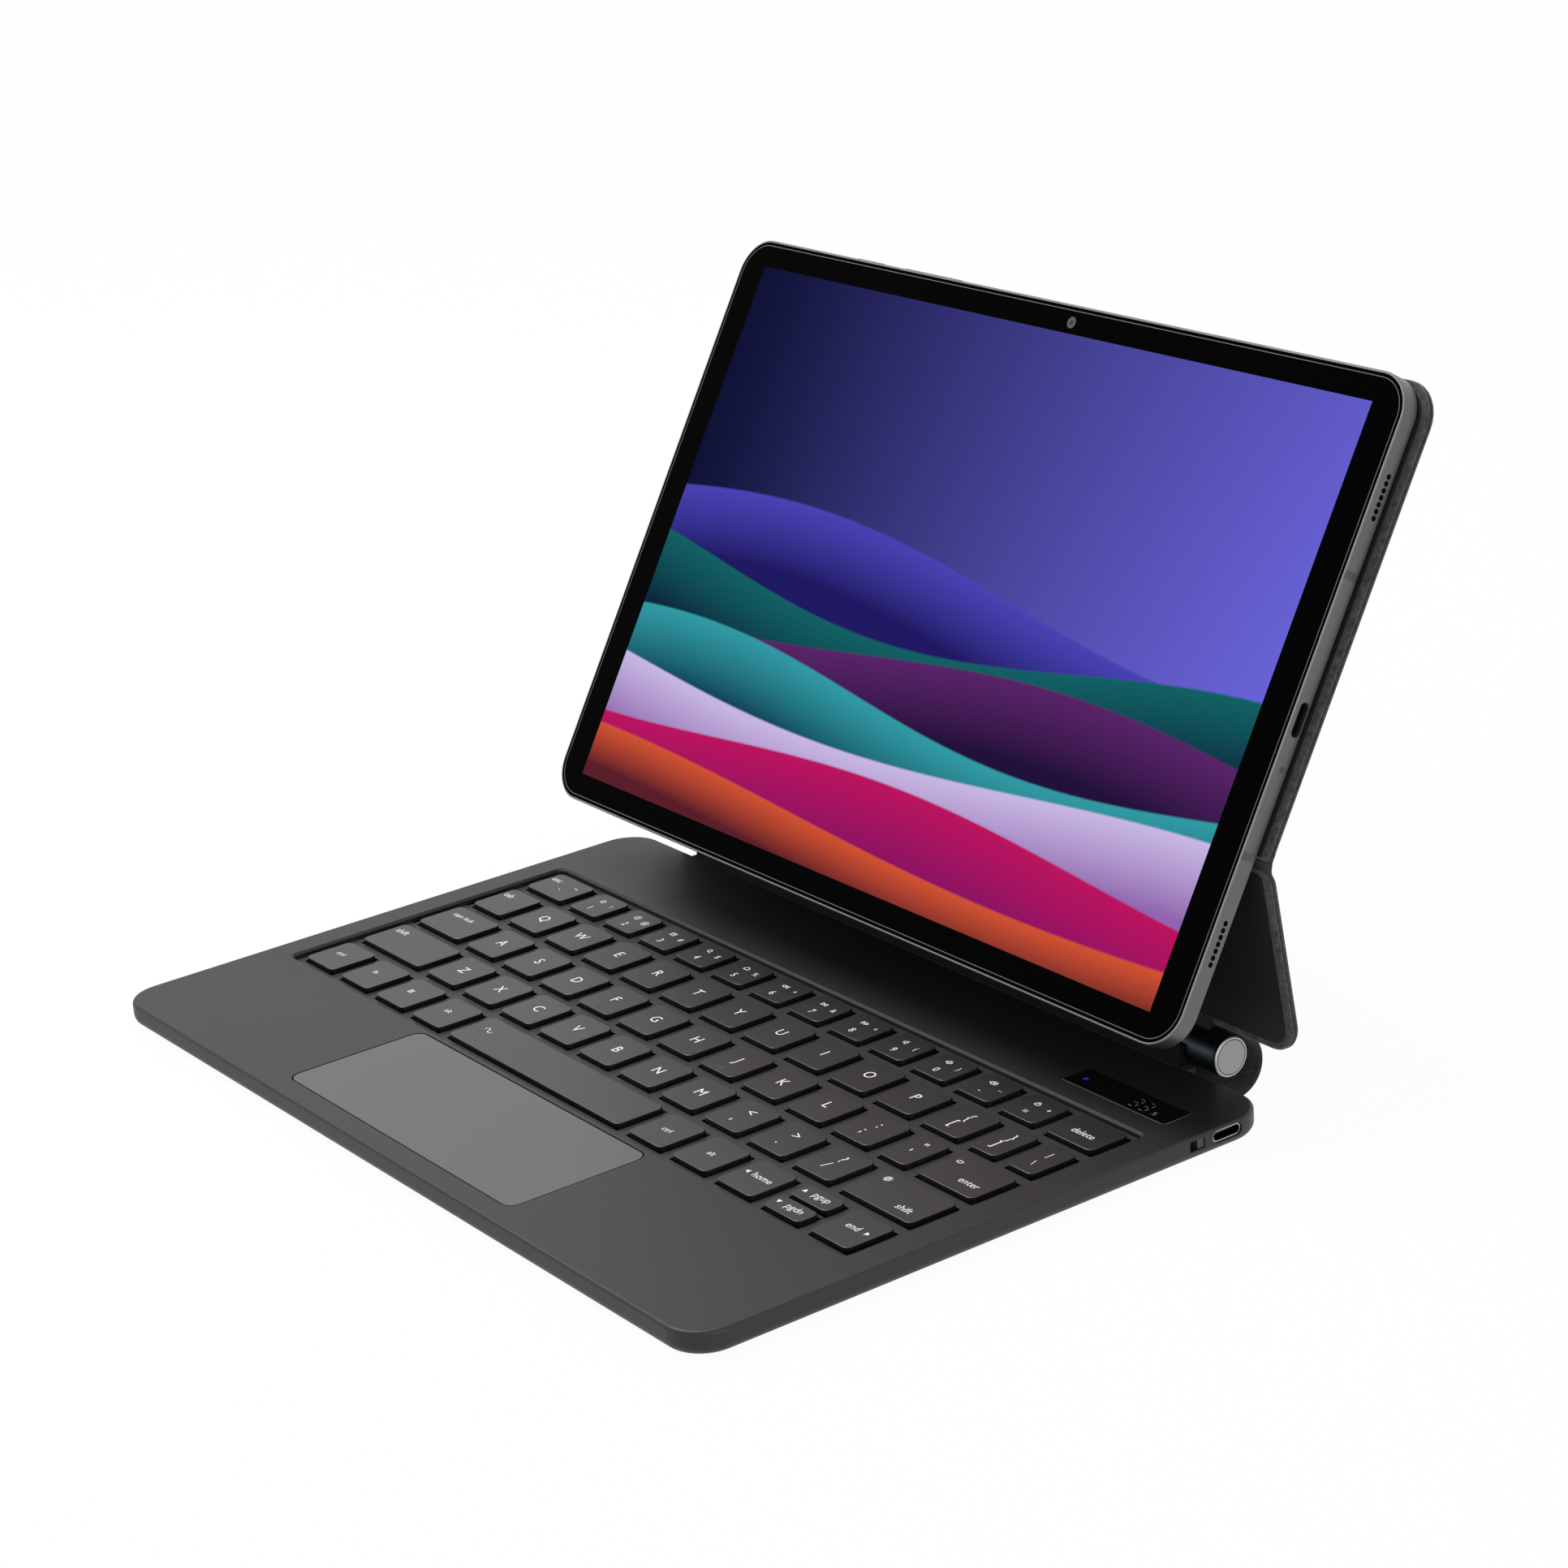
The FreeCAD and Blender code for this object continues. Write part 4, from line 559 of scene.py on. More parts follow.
SPEAKER = [(-0.8, -0.25), (-0.4, -0.25), (0.1, -0.7), (0.1, 0.7), (-0.4, 0.25), (-0.8, 0.25), (-0.8, -0.25)]
FORWARD = [[(-0.9, -0.5), (0, 0), (-0.9, 0.5), (-0.9, -0.5)], [(0, -0.5), (0.9, 0), (0, 0.5), (0, -0.5)]]
ICONS = {
    "dim": [arc(0, 0, 0.45)] + rays(8, 0.65, 0.75),
    "bright": [arc(0, 0, 0.45)] + rays(8, 0.65, 0.95),
    "page": [outlined(-0.7, -0.5, 0.7, 0.5), [(-0.4, 0.1), (0.4, 0.1)]],
    "search": [arc(-0.15, 0.15, 0.5), [(0.2, -0.2), (0.7, -0.7)]],
    "house": [[(-0.7, -0.5), (0.7, -0.5), (0.7, 0.1), (0, 0.6), (-0.7, 0.1), (-0.7, -0.5)]],
    "back": [[(-x, y) for x, y in line] for line in FORWARD],
    "play": [FORWARD[0], [(0.2, -0.5), (0.2, 0.5)], [(0.55, -0.5), (0.55, 0.5)]],
    "forward": FORWARD,
    "mute": [SPEAKER],
    "quiet": [SPEAKER, arc(0.1, 0, 0.5, -50, 50, 6)],
    "loud": [SPEAKER, arc(0.1, 0, 0.5, -50, 50, 6), arc(0.1, 0, 0.85, -50, 50, 6)],
    "lock": [arc(0, 0.1, 0.4, 0, 180, 8), outlined(-0.6, -0.6, 0.6, 0.1)],
    "grid": [outlined(x - 0.2, y - 0.2, x + 0.2, y + 0.2) for x in (-0.35, 0.35) for y in (-0.35, 0.35)],
    "lamp": [arc(0, 0, 0.35)] + rays(10, 0.5, 0.9),
    "cloud": [arc(-0.35, 0, 0.35, 90, 270, 8) + arc(0.35, 0, 0.35, -90, 90, 8) + [(-0.35, 0.35)]],
    "off": [arc(0, 0, 0.7)],
    "on": [[(0, -0.8), (0, 0.8)]],
    "wave": [arc(-0.5, 0, 0.5, 180, 0, 8) + arc(0.5, 0, 0.5, 180, 360, 8)],
}
SIGNS = {
    "left": [(-0.5, 0), (0.5, -0.6), (0.5, 0.6)],
    "right": [(0.5, 0), (-0.5, 0.6), (-0.5, -0.6)],
    "up": [(0, 0.5), (-0.6, -0.5), (0.6, -0.5)],
    "down": [(0, -0.5), (0.6, 0.5), (-0.6, 0.5)],
}


def write(bm, words, middle, size):
    """Adds flat lettering, centred on a point."""
    curve = bpy.data.curves.new("words", "FONT")
    curve.body = words
    curve.size = size
    curve.align_x = "CENTER"
    curve.align_y = "CENTER"
    curve.resolution_u = 3
    setting = bpy.data.objects.new("words", curve)
    mesh = bpy.data.meshes.new_from_object(setting)
    mesh.transform(Matrix.Translation(middle))
    bm.from_mesh(mesh)
    bpy.data.objects.remove(setting)
    bpy.data.curves.remove(curve)
    bpy.data.meshes.remove(mesh)


def draw(bm, icon, middle, size):
    """Adds an icon's lines as thin flat strokes."""
    for line in ICONS[icon]:
        points = [middle + Vector((x, y, 0)) * size for x, y in line]
        for start, end in zip(points, points[1:]):
            side = (end - start).normalized().cross(Vector((0, 0, 1))) * STROKE / 2
            corners = (start - side, end - side, end + side, start + side)
            bm.faces.new([bm.verts.new(corner) for corner in corners])


def mark(bm, sign, middle, size):
    bm.faces.new([bm.verts.new(middle + Vector((x, y, 0)) * size) for x, y in SIGNS[sign]])


def legend(bm, box, words, across, along, size):
    """One legend on a key: an icon, a filled sign, or words."""
    low, high = box
    middle = Vector((low.x + across * (high.x - low.x), low.y + along * (high.y - low.y), high.z))
    middle.z += LEGEND_LIFT
    if words in ICONS:
        draw(bm, words, middle, size)
    elif words in SIGNS:
        mark(bm, words, middle, size)
    else:
        write(bm, words, middle, size)


WORD = 3.1 * MM
SMALL = 2.5 * MM
LETTER = 4.4 * MM
ICON = 1.3 * MM
SPACE_MARK = 1.7 * MM
KEY_LEGENDS = {
    "ctrl_left_key": [("ctrl", 0.42, 0.55, SMALL)],
    "fn_key": [("fn", 0.42, 0.55, SMALL)],
    "menu_key": [("grid", 0.42, 0.55, ICON)],
    "alt_left_key": [("alt", 0.45, 0.55, SMALL)],
    "space_key": [("wave", 0.085, 0.6, SPACE_MARK)],
    "ctrl_right_key": [("ctrl", 0.5, 0.5, SMALL)],
    "alt_right_key": [("alt", 0.5, 0.5, SMALL)],
    "arrow_left_key": [("left", 0.17, 0.55, ICON), ("home", 0.58, 0.55, WORD)],
    "arrow_down_key": [("down", 0.15, 0.55, ICON), ("pgdn", 0.58, 0.58, WORD)],
    "arrow_up_key": [("up", 0.15, 0.55, ICON), ("pgup", 0.58, 0.58, WORD)],
    "arrow_right_key": [("end", 0.46, 0.55, WORD), ("right", 0.82, 0.55, ICON)],
    "shift_left_key": [("shift", 0.16, 0.72, WORD)],
    "shift_right_key": [("lamp", 0.17, 0.76, ICON), ("shift", 0.74, 0.27, WORD)],
    "caps_key": [("caps lock", 0.40, 0.70, SMALL)],
    "enter_key": [("cloud", 0.17, 0.74, ICON), ("enter", 0.68, 0.34, WORD)],
    "tab_key": [("tab", 0.24, 0.72, WORD)],
    "backslash_key": [("|", 0.5, 0.68, WORD), ("\\", 0.5, 0.32, WORD)],
    "esc_key": [("esc", 0.2, 0.70, WORD), ("`", 0.56, 0.3, LETTER), ("~", 0.76, 0.68, WORD)],
    "delete_key": [("delete", 0.5, 0.42, WORD)],
}
ROW_LETTERS = {
    "bottom_row": ["Z", "X", "C", "V", "B", "N", "M", ",<", ".>", "/?"],
    "home_row": ["A", "S", "D", "F", "G", "H", "J", "K", "L", ";:", "'\""],
    "letter_row": ["Q", "W", "E", "R", "T", "Y", "U", "I", "O", "P", "[{", "]}"],
}
DIGITS = ["1!", "2@", "3#", "4$", "5%", "6^", "7&", "8*", "9(", "0)", "-_", "=+"]
DIGIT_ICONS = [
    "dim", "bright", "page", "search", "house", "back", "play", "forward", "mute", "quiet", "loud", "lock",
]


def row_legends(row):
    """The legends of each key in a row: a letter in the middle, or two signs one behind the other."""
    if row == "digit_row":
        return [
            [(pair[0], 0.46, 0.28, WORD), (icon, 0.40, 0.68, ICON), (pair[1], 0.78, 0.60, SMALL)]
            for pair, icon in zip(DIGITS, DIGIT_ICONS)
        ]
    return [
        [(words, 0.5, 0.53, LETTER)] if len(words) == 1
        else [(words[0], 0.46, 0.36, LETTER), (words[1], 0.52, 0.66, LETTER)]
        for words in ROW_LETTERS[row]
    ]


def key_legends(node, legends):
    bm = bmesh.new()
    for box, entries in zip(solids_of(node), legends):
        for words, across, along, size in entries:
            legend(bm, box, words, across, along, size)
    new_piece(node + "_legend", bm, [LEGEND], node)


HOMING_KEYS = (3, 6)
HOMING_HALF = 1.6 * MM
HOMING_FRONT = 1.9 * MM
HOMING_WIDTH = 0.5 * MM


def homing_bars():
    """The raised bars that fingers find on two keys of the home row."""
    bm = bmesh.new()
    for number in HOMING_KEYS:
        low, high = solids_of("home_row")[number]
        middle = (low.x + high.x) / 2
        front = low.y + HOMING_FRONT
        corner = Vector((middle - HOMING_HALF, front, 0))
        far_corner = Vector((middle + HOMING_HALF, front + HOMING_WIDTH, 0))
        profile = [(0, high.z, 0), (0.05 * MM, high.z + 0.12 * MM, 0), (0.15 * MM, high.z + 0.18 * MM, 0)]
        slab(bm, corner, far_corner, [HOMING_WIDTH / 2] * 4, profile, steps=4)
    new_piece("homing_bars", bm, [KEY_FACE], "home_row")


def key_lifts(node):
    """The rubber lifts under a node's caps."""
    bm = bmesh.new()
    for low, high in solids_of("key_lifts"):
        middle = (low + high) / 2
        if any(cap_low.x < middle.x < cap_high.x and cap_low.y < middle.y < cap_high.y
               for cap_low, cap_high in solids_of(node)):
            profile = [(0.0, low.z, 0), (0.7 * MM, middle.z, 0), (1.0 * MM, high.z, 0)]
            slab(bm, low, high, [LIFT_CORNER] * 4, profile, steps=3)
    lifts = new_piece(node + "_lifts", bm, [BLACK_FILM_AND_MARK_SHADE], "base")
    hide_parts("key_lifts")
    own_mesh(lifts)


def key_frame():
    """The thin web between the keys, with an opening for each cap."""
    boxes = [box for node in SINGLE_KEYS + KEY_ROWS for box in solids_of(node)]
    well_low, well_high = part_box("switch_membrane")
    height = boxes[0][0].z + FRAME_LIFT
    fronts = sorted({round(box[0].y, 5) for box in boxes})
    rows = [[box for box in boxes if abs(box[0].y - front) < SAME_PLACE] for front in fronts]
    upper_arrow = next(row for row in rows if len(row) == 1)
    rows.remove(upper_arrow)
    bm = bmesh.new()
    last = well_low.y
    for row in rows:
        row.sort(key=lambda box: box[0].x)
        front = row[0][0].y - FRAME_GAP
        rear = max(box[1].y for box in row) + FRAME_GAP
        rectangle(bm, well_low.x, well_high.x, last, front, height)
        openings = [side for low, high in row for side in (low.x - FRAME_GAP, high.x + FRAME_GAP)]
        sides = [well_low.x] + openings + [well_high.x]
        for left, right in zip(sides[::2], sides[1::2]):
            rectangle(bm, left, right, front, rear, height)
        last = rear
    rectangle(bm, well_low.x, well_high.x, last, well_high.y, height)
    arrow_low, arrow_high = upper_arrow[0]
    lower = next(box for box in rows[0] if abs(box[0].x - arrow_low.x) < SAME_PLACE)
    rectangle(bm, arrow_low.x, arrow_high.x, lower[1].y + FRAME_GAP, arrow_low.y - FRAME_GAP, height)
    new_piece("key_frame", bm, [WELL_FLOOR], "base")


def keyboard():
    key_frame()
    for node in SINGLE_KEYS + KEY_ROWS:
        key_caps(node)
        key_lifts(node)
    for node in SINGLE_KEYS:
        key_legends(node, [KEY_LEGENDS[node]])
    for node in KEY_ROWS:
        key_legends(node, row_legends(node))
    homing_bars()


# Status window: places are measured from the window's left front corner.

WINDOW_LINE = 0.28 * MM
WINDOW_CORNER = 1.2 * MM
LIGHT_AT = Vector((4.0, 4.2, 0)) * MM
LIGHT_RADIUS = 0.75 * MM
FIRST_DIGIT_AT = Vector((22.6, 3.9, 0)) * MM
DIGIT_PITCH = 3.65 * MM
PER_CENT_AT = Vector((30.4, 2.6, 0)) * MM
PER_CENT_SIZE = 2.2 * MM
# A digit's lit strokes in millimetres, each with its middle and whether it stands upright.
DIGIT_STROKES = [(0, 2.1, False), (0, 0, False), (0, -2.1, False), (1.25, 1.05, True), (1.25, -1.05, True)]
STROKE_HALF = (0.6, 0.12)


def window_line(low, high, top):
    """A thin line along the window's front and right sides."""
    bm = bmesh.new()
    rings = []
    for inset in (0, WINDOW_LINE):
        bend = arc(high.x - WINDOW_CORNER, low.y + WINDOW_CORNER, WINDOW_CORNER - inset, -90, 0, 8)
        rings.append([(low.x, low.y + inset)] + bend + [(high.x - inset, high.y)])
    outer, inner = [[bm.verts.new((x, y, top)) for x, y in ring] for ring in rings]
    for number in range(len(outer) - 1):
        bm.faces.new((outer[number], outer[number + 1], inner[number + 1], inner[number]))
    new_piece("window_line", bm, [FAINT_LEGEND], "base")


def charge_reading(corner):
    """Two digits made of lit strokes, and a sign after them."""
    bm = bmesh.new()
    long_half, short_half = STROKE_HALF
    for digit in range(2):
        middle = corner + FIRST_DIGIT_AT + ACROSS * DIGIT_PITCH * digit
        for across, along, upright in DIGIT_STROKES:
            half_x, half_y = (short_half, long_half) if upright else (long_half, short_half)
            rectangle(bm, middle.x + (across - half_x) * MM, middle.x + (across + half_x) * MM,
                      middle.y + (along - half_y) * MM, middle.y + (along + half_y) * MM, middle.z)
    write(bm, "%", corner + PER_CENT_AT, PER_CENT_SIZE)
    new_piece("charge_digits", bm, [READING], "base")


def status_lights():
    """What shows in the window: its line, a blue light and the charge reading."""
    low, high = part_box("status_window")
    top = high.z + 2 * DETAIL_LIFT
    corner = Vector((low.x, low.y, top))
    window_line(low, high, top)
    bm = bmesh.new()
    disc(bm, corner + LIGHT_AT, LIGHT_RADIUS)
    new_piece("charge_light", bm, [BLUE_LIGHT], "base")
    charge_reading(corner)


# Cloth covers

HEM = 2.1 * MM
FOLD_INSET = 0.5 * MM
FOLD_REACH = 3.2 * MM
FOLD_BEND = 1.0 * MM
FOLD_PROUD = 0.02 * MM
STAND_WRAP = 1.3 * MM
PANEL_WRAP = 0.9 * MM
# Corner radii, from the upper right round to the lower right.
STAND_CORNERS = [3.5 * MM, 3.5 * MM, 8 * MM, 8 * MM]
PANEL_CORNERS = [10 * MM, 10 * MM, 0.8 * MM, 0.8 * MM]
LENS_MARGIN = Vector((3.5, 4.0, 0)) * MM
LENS_OPENING_RADIUS = 7.95 * MM
STRIP_THICKNESS = 1.3 * MM
STRIP_SIDE = 0.5 * MM
SIDE_PULL = 0.35
SPINE_RADIUS = 8.3 * MM
SPINE_FLAT = 3 * MM
SPINE_END = 42
TUCK_UP = 1.2 * MM
TUCK_IN = 0.5 * MM
UNDERSIDE_CORNER = 6.8 * MM
CLOTH, HEMMED, LINED = range(3)


def cover_outline(low, high, radii, inset, fold_way):
    """A rounded outline whose side along the fold keeps only a small inset, so it has no hem."""
    spare = max(0.0, inset - FOLD_INSET) * fold_way
    middle = (low.y + high.y) / 2
    points = rounded_outline(low, high, radii, inset)
    return [(x, y + spare if (y - middle) * fold_way > 0 else y) for x, y in points]


def cover_skin(bm, low, high, radii, profile, fold_way, place):
    """The edge of a cover, all round and from its outer face to its inner one."""
    rings = [
        [place @ Vector((x, y, height)) for x, y in cover_outline(low, high, radii, inset, fold_way)]
        for inset, height, slot in profile
    ]
    return skin(bm, rings, [slot for inset, height, slot in profile[1:]])


def cover(bm, low, high, radii, profile, fold_way, place):
    """A cover without a hole."""
    loops = cover_skin(bm, low, high, radii, profile, fold_way, place)
    bm.faces.new(loops[0]).material_index = profile[0][2]
    bm.faces.new(loops[-1]).material_index = profile[-1][2]


def open_cover(bm, low, high, radii, profile, fold_way, hole, place):
    """A cover with a rounded hole through it."""
    cover_skin(bm, low, high, radii, profile, fold_way, place)
    hole_low, hole_high, hole_radius = hole
    faces = [(profile[0][1], profile[0][2]), (profile[-1][1], profile[-1][2])]
    walls = [
        [place @ Vector((x, y, height)) for x, y in rounded_outline(hole_low, hole_high, [hole_radius] * 4)]
        for height, slot in faces
    ]
    skin(bm, walls, [profile[0][2]])
    bmesh.ops.remove_doubles(bm, verts=bm.verts, dist=MERGE)
    back = place.inverted()
    for height, slot in faces:
        rim = [edge for edge in bm.edges if edge.is_boundary
               and all(abs((back @ vertex.co).z - height) < 1e-6 for vertex in edge.verts)]
        for made in bmesh.ops.triangle_fill(bm, edges=rim, use_beauty=True)["geom"]:
            if isinstance(made, bmesh.types.BMFace):
                made.material_index = slot


def cover_profile(thickness):
    """Outer cloth turned over the edge into a hem, with the lining laid inside the hem."""
    return [
        (0.90 * MM, 0.00 * MM, CLOTH),
        (0.30 * MM, 0.20 * MM, CLOTH),
        (0.00 * MM, 0.70 * MM, CLOTH),
        (0.00 * MM, 1.20 * MM, CLOTH),
        (0.30 * MM, 1.45 * MM, CLOTH),
        (0.10 * MM, 1.75 * MM, HEMMED),
        (0.20 * MM, 2.20 * MM, HEMMED),
        (0.70 * MM, thickness, HEMMED),
        (HEM - 0.50 * MM, thickness + 0.05 * MM, HEMMED),
        (HEM, thickness - 0.15 * MM, HEMMED),
        (HEM + 0.30 * MM, thickness - 0.10 * MM, LINED),
    ]


def stand_cover():
    low, high = box_in("stand_cloth", STAND)
    low.x -= STAND_WRAP
    high.x += STAND_WRAP
    top = box_in("stand_lining", STAND)[1].z
    bm = bmesh.new()
    cover(bm, low, high, STAND_CORNERS, cover_profile(top), 1, STAND)
    made = new_piece("stand_cover", bm, [OUTER_CLOTH, HEM_CLOTH, LINING], "stand")
    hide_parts("stand_cloth", "stand_lining", "stand_card")


def panel_cover():
    low, high = box_in("panel_cloth", SCREEN)
    low.x -= PANEL_WRAP
    high.x += PANEL_WRAP
    top = box_in("panel_lining", SCREEN)[1].z
    lens_low, lens_high = box_in("tablet_lenses", SCREEN)
    hole = (lens_low - LENS_MARGIN, lens_high + LENS_MARGIN, LENS_OPENING_RADIUS)
    bm = bmesh.new()
    open_cover(bm, low, high, PANEL_CORNERS, cover_profile(top), -1, hole, SCREEN)
    made = new_piece("panel_cover", bm, [OUTER_CLOTH, HEM_CLOTH, LINING], "screen_panel")
    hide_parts("panel_cloth", "panel_lining", "panel_card")


def swept(bm, path, half, thickness, round_end):
    """A strip of even thickness with softened sides. Its path runs along its outer face, in the YZ plane."""
    outer = [Vector((0, y, z)) for y, z in path]
    inner = []
    for number, point in enumerate(outer):
        ahead = outer[min(number + 1, len(outer) - 1)] - outer[max(number - 1, 0)]
        inner.append(point + ahead.cross(ACROSS).normalized() * -thickness)
    rings = []
    for x, pull in ((-half, SIDE_PULL), (-half + round_end, 0), (half - round_end, 0), (half, SIDE_PULL)):
        there = [a.lerp(b, pull) for a, b in zip(outer, inner)]
        back = [b.lerp(a, pull) for a, b in zip(outer, inner)][::-1]
        rings.append([point + ACROSS * x for point in there + back])
    loops = skin(bm, rings, [0] * 3)
    count = len(outer)
    for loop in (loops[0], loops[-1]):
        for start in range(count - 1):
            across = 2 * count - 1 - start
            bm.faces.new((loop[start], loop[start + 1], loop[across - 1], loop[across]))


def spine():
    """The cloth that runs flat from the base's rear edge, curls up behind the barrel and enters the stand."""
    low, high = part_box("spine_cloth")
    middle = high.y - SPINE_RADIUS
    edge = box_in("stand_cloth", STAND)[0].y
    tuck = STAND @ Vector((0, edge + TUCK_UP, TUCK_IN))
    curl = arc(middle, SPINE_RADIUS, SPINE_RADIUS, -90, SPINE_END, 16)
    path = [(low.y, 0.0), (low.y + SPINE_FLAT, 0.0)] + curl + [(tuck.y, tuck.z)]
    bm = bmesh.new()
    swept(bm, path, high.x, STRIP_THICKNESS, STRIP_SIDE)
    piece = new_piece("spine", bm, [OUTER_CLOTH], None, smooth_angle=50)
    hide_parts("spine_cloth")
    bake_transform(piece)


def fold():
    """The cloth that bends between the two panels."""
    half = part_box("panel_cloth")[1].x + PANEL_WRAP
    ends = [
        STAND @ Vector((0, -FOLD_REACH, -FOLD_PROUD)),
        STAND @ Vector((0, -FOLD_BEND, -2 * FOLD_PROUD)),
        SCREEN @ Vector((0, FOLD_BEND, -2 * FOLD_PROUD)),
        SCREEN @ Vector((0, FOLD_REACH, -FOLD_PROUD)),
    ]
    bm = bmesh.new()
    swept(bm, [(point.y, point.z) for point in ends], half, STRIP_THICKNESS, STRIP_SIDE)
    piece = new_piece("fold", bm, [OUTER_CLOTH], None, smooth_angle=60)
    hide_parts("fold_strip")
    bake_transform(piece)


def underside():
    low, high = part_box("underside_skin")
    bm = bmesh.new()
    profile = [(0.35 * MM, 0.0, 0), (0.1 * MM, 0.12 * MM, 0), (0, high.z, 0)]
    slab(bm, low, high, [UNDERSIDE_CORNER] * 4, profile)
    piece = new_piece("underside", bm, [UNDERSIDE], "base")
    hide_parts("underside_skin")


# Tablet details: heights are measured up the screen from the fold.

SPEAKER_STARTS = (-25.6 * MM, 81.9 * MM)
SPEAKER_HOLES = 7
SPEAKER_PITCH = 1.66 * MM
SPEAKER_RADIUS = 0.68 * MM
MIC_UP = 21.4 * MM
MIC_RADIUS = 0.8 * MM
PORT_HALF = Vector((0.9, 3.8, 0)) * MM
PORT_CORNER = 0.89 * MM
PORT_SINK = 0.7 * MM
GLASS_CORNER = 9.4 * MM
GLASS_HIGHLIGHT_INSETS = (0.80 * MM, 0.98 * MM)
LENS_ACROSS = 10.7 * MM
LENS_OVER_SCREEN = 2.9 * MM
LENS_RING_RADIUS = 1.5 * MM
PUPIL_RADIUS = 0.7 * MM


def side_holes():
    """The speakers' holes, a microphone and the inside of the port, on the tablet's right side. The speaker
    holes are dark discs and the port has a dark plate sunk into it, as painted shade.
    """
    low, high = box_in("tablet_body", SCREEN)
    depth = (low.z + high.z) / 2
    right = Matrix.Translation((high.x + 2 * DETAIL_LIFT, 0, 0))
    side = SCREEN @ right @ Matrix.Rotation(math.pi / 2, 4, "Y")
    bm = bmesh.new()
    # Painted shade: each speaker hole is a dark disc on the side.
    for start in SPEAKER_STARTS:
        for number in range(SPEAKER_HOLES):
            disc(bm, Vector((-depth, start + number * SPEAKER_PITCH, 0)), SPEAKER_RADIUS, side)
    disc(bm, Vector((-depth, MIC_UP, 0)), MIC_RADIUS, side)
    bm.faces.ensure_lookup_table()
    bm.faces[-1].material_index = 1
    # Painted shade: a dark plate sunk into the port stands in for the shade inside it.
    port = Vector((-depth, (low.y + high.y) / 2, 0))
    outline = rounded_outline(port - PORT_HALF, port + PORT_HALF, [PORT_CORNER] * 4)
    bm.faces.new([bm.verts.new(side @ Vector((x, y, -PORT_SINK))) for x, y in outline])
    new_piece("side_holes", bm, [HOLE_SHADE, MIC_MESH], "tablet")


def glass_edge_highlight():
    """A painted highlight: a thin light line that runs round the cover glass, a little inside its edge, where
    the glass's edge catches the light.
    """
    low, high = box_in("tablet_glass", SCREEN)
    bm = bmesh.new()
    rings = [
        [SCREEN @ Vector((x, y, high.z + DETAIL_LIFT))
         for x, y in rounded_outline(low, high, [GLASS_CORNER] * 4, inset)]
        for inset in GLASS_HIGHLIGHT_INSETS
    ]
    skin(bm, rings, [0])
    new_piece("glass_edge_highlight", bm, [GLASS_HIGHLIGHT], "tablet")


def front_lens():
    """The small camera over the screen: a ring with a dark pupil."""
    glass = box_in("tablet_glass", SCREEN)[1].z
    up = box_in("tablet_screen", SCREEN)[1].y + LENS_OVER_SCREEN
    bm = bmesh.new()
    disc(bm, Vector((LENS_ACROSS, up, glass + 2 * DETAIL_LIFT)), LENS_RING_RADIUS, SCREEN, 32)
    new_piece("front_lens", bm, [LENS_RING], "tablet")
    bm = bmesh.new()
    disc(bm, Vector((LENS_ACROSS, up, glass + 3 * DETAIL_LIFT)), PUPIL_RADIUS, SCREEN, 24)
    new_piece("front_lens_pupil", bm, [LENS], "tablet")


MARK_SIZE = 0.8 * MM
OFF_BEHIND = 5.2 * MM
ON_AHEAD = 1.6 * MM


def switch_marks():
    """A bar and a ring, moulded into the side at the ends of the power switch. They are drawn as dark
    strokes, as painted shade of the moulding.
    """
    low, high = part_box("power_switch")
    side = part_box("bottom_shell")[1].x + DETAIL_LIFT
    turn = Matrix((Vector((0, 1, 0)), Vector((0, 0, 1)), ACROSS)).transposed().to_4x4()
    bm = bmesh.new()
    draw(bm, "off", Vector((low.y - OFF_BEHIND, 0, 0)), MARK_SIZE)
    draw(bm, "on", Vector((high.y + ON_AHEAD, 0, 0)), MARK_SIZE)
    bm.transform(Matrix.Translation((side, 0, (low.z + high.z) / 2)) @ turn)
    # Painted shade: the moulded marks are drawn in the dark film.
    new_piece("switch_marks", bm, [BLACK_FILM_AND_MARK_SHADE], "base")


# Stage

CAMERA_AT = Vector((0.7478, -0.4709, 0.3902))
CAMERA_AZIMUTH = math.radians(55.49)
CAMERA_ELEVATION = math.radians(19.77)
CAMERA_ROLL = math.radians(-4.60)
CAMERA_LENS = 89.47
CAMERA_SENSOR = 36
# The white world's strength where it is seen, and where it lights the object.
SEEN_STRENGTH = 1.0
LIGHT_STRENGTH = 0.55
FLOOR_HALF = 3.0
FLOOR_DROP = 0.0002
# The share of plain white in the floor where it is seen. The rest takes the shadow.
FLOOR_WHITE = 0.96


def camera():
    ahead = Vector((-math.sin(CAMERA_AZIMUTH) * math.cos(CAMERA_ELEVATION),
                    math.cos(CAMERA_AZIMUTH) * math.cos(CAMERA_ELEVATION), -math.sin(CAMERA_ELEVATION)))
    level = ahead.cross(Vector((0, 0, 1))).normalized()
    upright = level.cross(ahead)
    right = level * math.cos(CAMERA_ROLL) + upright * math.sin(CAMERA_ROLL)
    up = right.cross(ahead)
    lens = bpy.data.cameras.new("camera")
    lens.lens = CAMERA_LENS
    lens.sensor_width = CAMERA_SENSOR
    lens.sensor_height = CAMERA_SENSOR
    lens.clip_start = 0.01
    holder = bpy.data.objects.new("camera", lens)
    holder.matrix_world = Matrix.Translation(CAMERA_AT) @ Matrix((right, up, -ahead)).transposed().to_4x4()
    bpy.context.scene.collection.objects.link(holder)
    bpy.context.scene.camera = holder


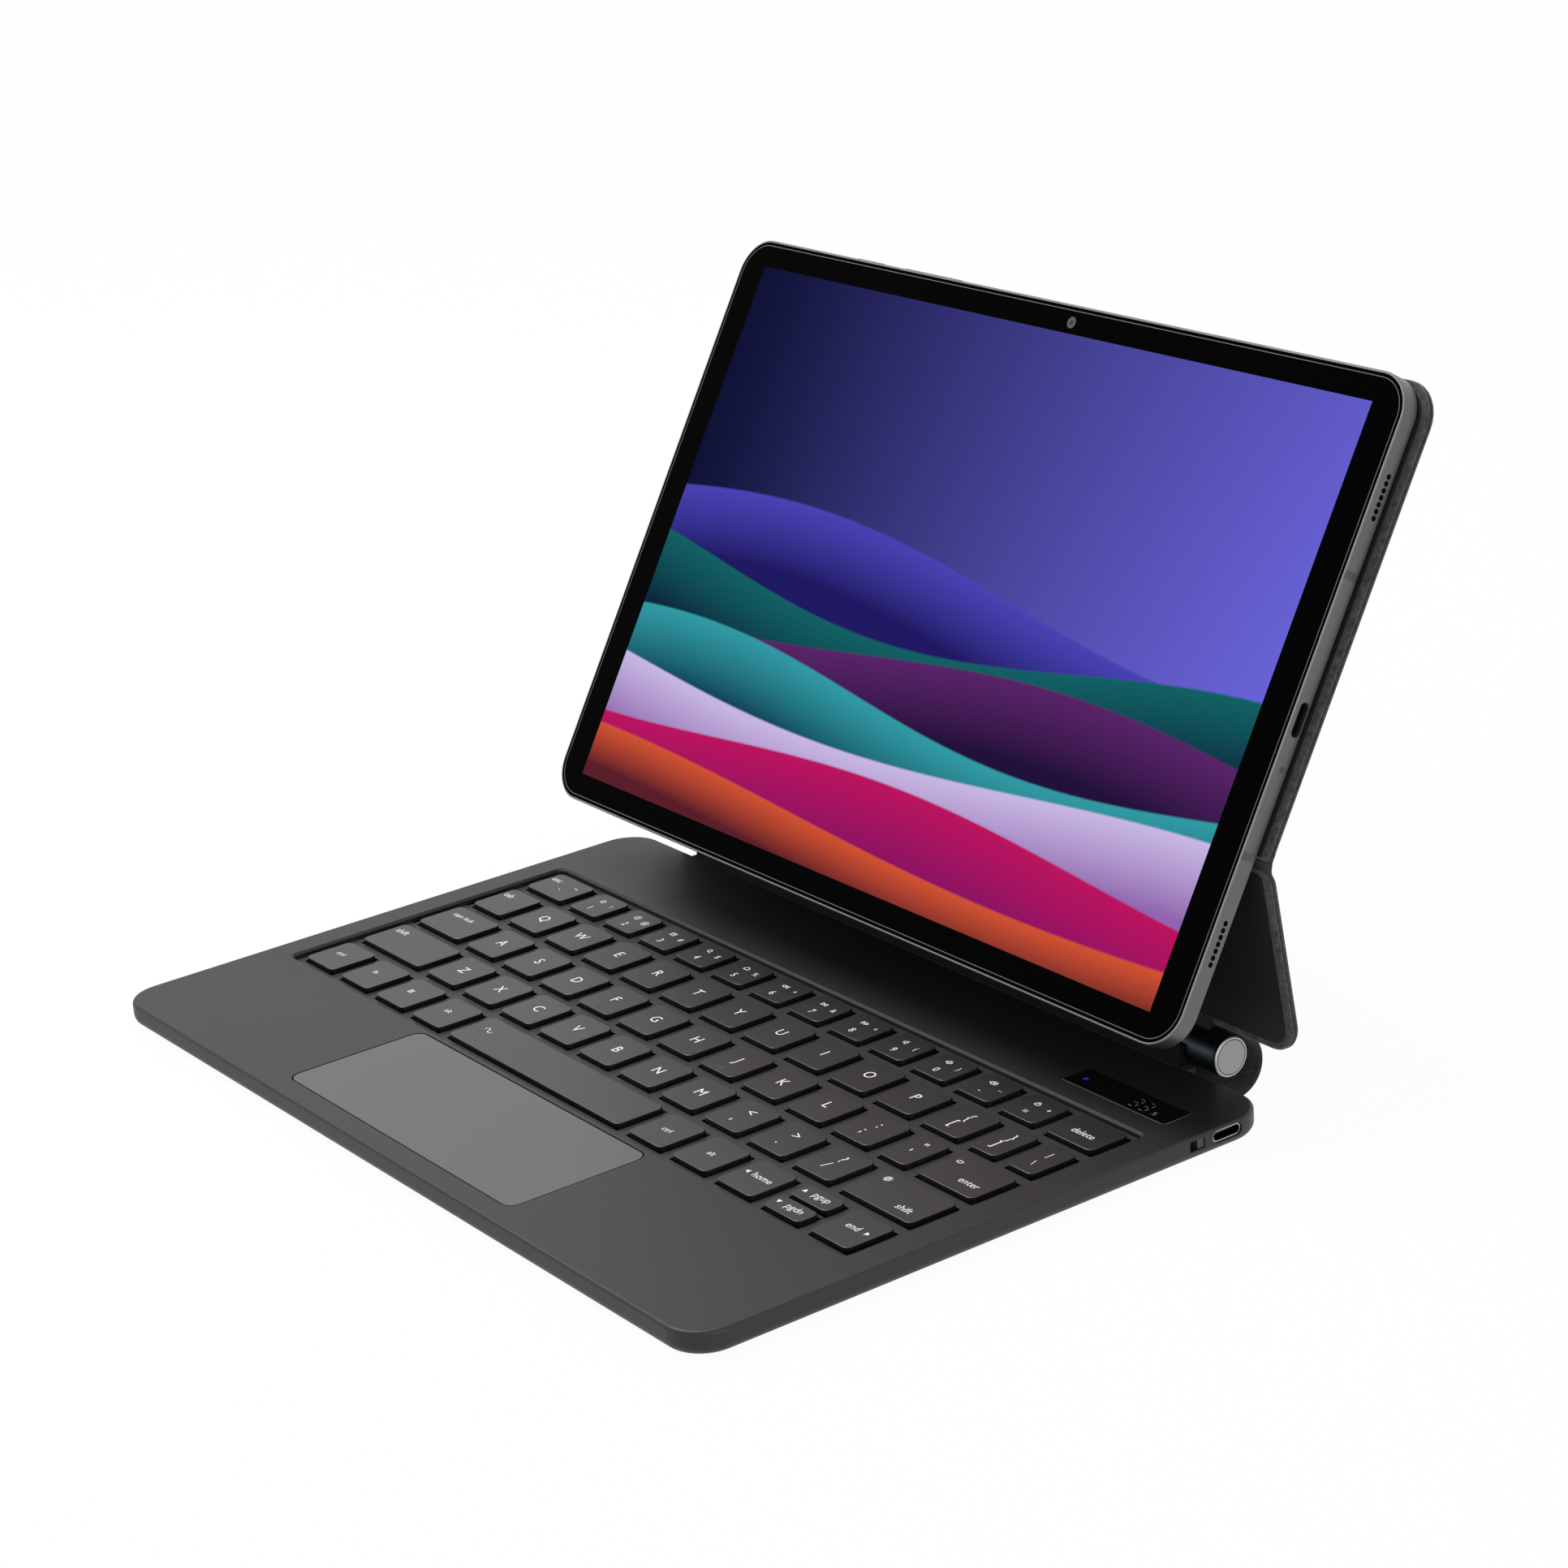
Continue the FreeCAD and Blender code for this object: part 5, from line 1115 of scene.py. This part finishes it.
def seen_directly(tree):
    """1 for rays from the camera, off gloss or through glass, 0 for light that falls on the object."""
    path = add(tree, "LightPath").outputs
    return calc(tree, "MAXIMUM", path["Is Camera Ray"],
                calc(tree, "MAXIMUM", path["Is Glossy Ray"], path["Is Transmission Ray"]))


def world():
    made = bpy.data.worlds.new("studio")
    bpy.context.scene.world = made
    made.use_nodes = True
    tree = made.node_tree
    ends = {"To Min": LIGHT_STRENGTH, "To Max": SEEN_STRENGTH}
    strength = add(tree, "MapRange", {"Value": seen_directly(tree), **ends})
    tree.links.new(strength.outputs[0], tree.nodes["Background"].inputs["Strength"])
    tree.nodes["Background"].inputs["Color"].default_value = (1, 1, 1, 1)


def floor():
    bm = bmesh.new()
    rectangle(bm, -FLOOR_HALF, FLOOR_HALF, -FLOOR_HALF, FLOOR_HALF, -FLOOR_DROP)
    mesh = bpy.data.meshes.new("floor")
    bm.to_mesh(mesh)
    bm.free()
    made, tree, shader = plain("floor", (0.85, 0.85, 0.85), 0.9)
    white = add(tree, "Emission", {"Color": (1, 1, 1, 1), "Strength": 1.0})
    share = calc(tree, "MULTIPLY", seen_directly(tree), FLOOR_WHITE)
    blend = add(tree, "MixShader", {0: share, 1: shader.outputs[0], 2: white.outputs[0]})
    tree.links.new(blend.outputs[0], tree.nodes["Material Output"].inputs["Surface"])
    mesh.materials.append(made)
    ground = bpy.data.objects.new("floor", mesh)
    bpy.context.scene.collection.objects.link(ground)


def area_light(name, at, aim, size, power):
    lamp = bpy.data.lights.new(name, "AREA")
    lamp.size = size
    lamp.energy = power
    holder = bpy.data.objects.new(name, lamp)
    holder.location = at
    holder.rotation_euler = (Vector(aim) - Vector(at)).to_track_quat("-Z", "Y").to_euler()
    bpy.context.scene.collection.objects.link(holder)


def lights():
    area_light("key_light", at=(-0.7, -0.2, 1.5), aim=(0, 0, 0), size=0.8, power=19)
    area_light("right_fill", at=(1.3, -0.1, 0.25), aim=(0, 0.05, 0.05), size=0.6, power=4)


bpy.context.scene.view_settings.view_transform = "Standard"
paint_nodes()
keyboard()
status_lights()
stand_cover()
panel_cover()
spine()
fold()
underside()
side_holes()
glass_edge_highlight()
front_lens()
switch_marks()
camera()
world()
floor()
lights()
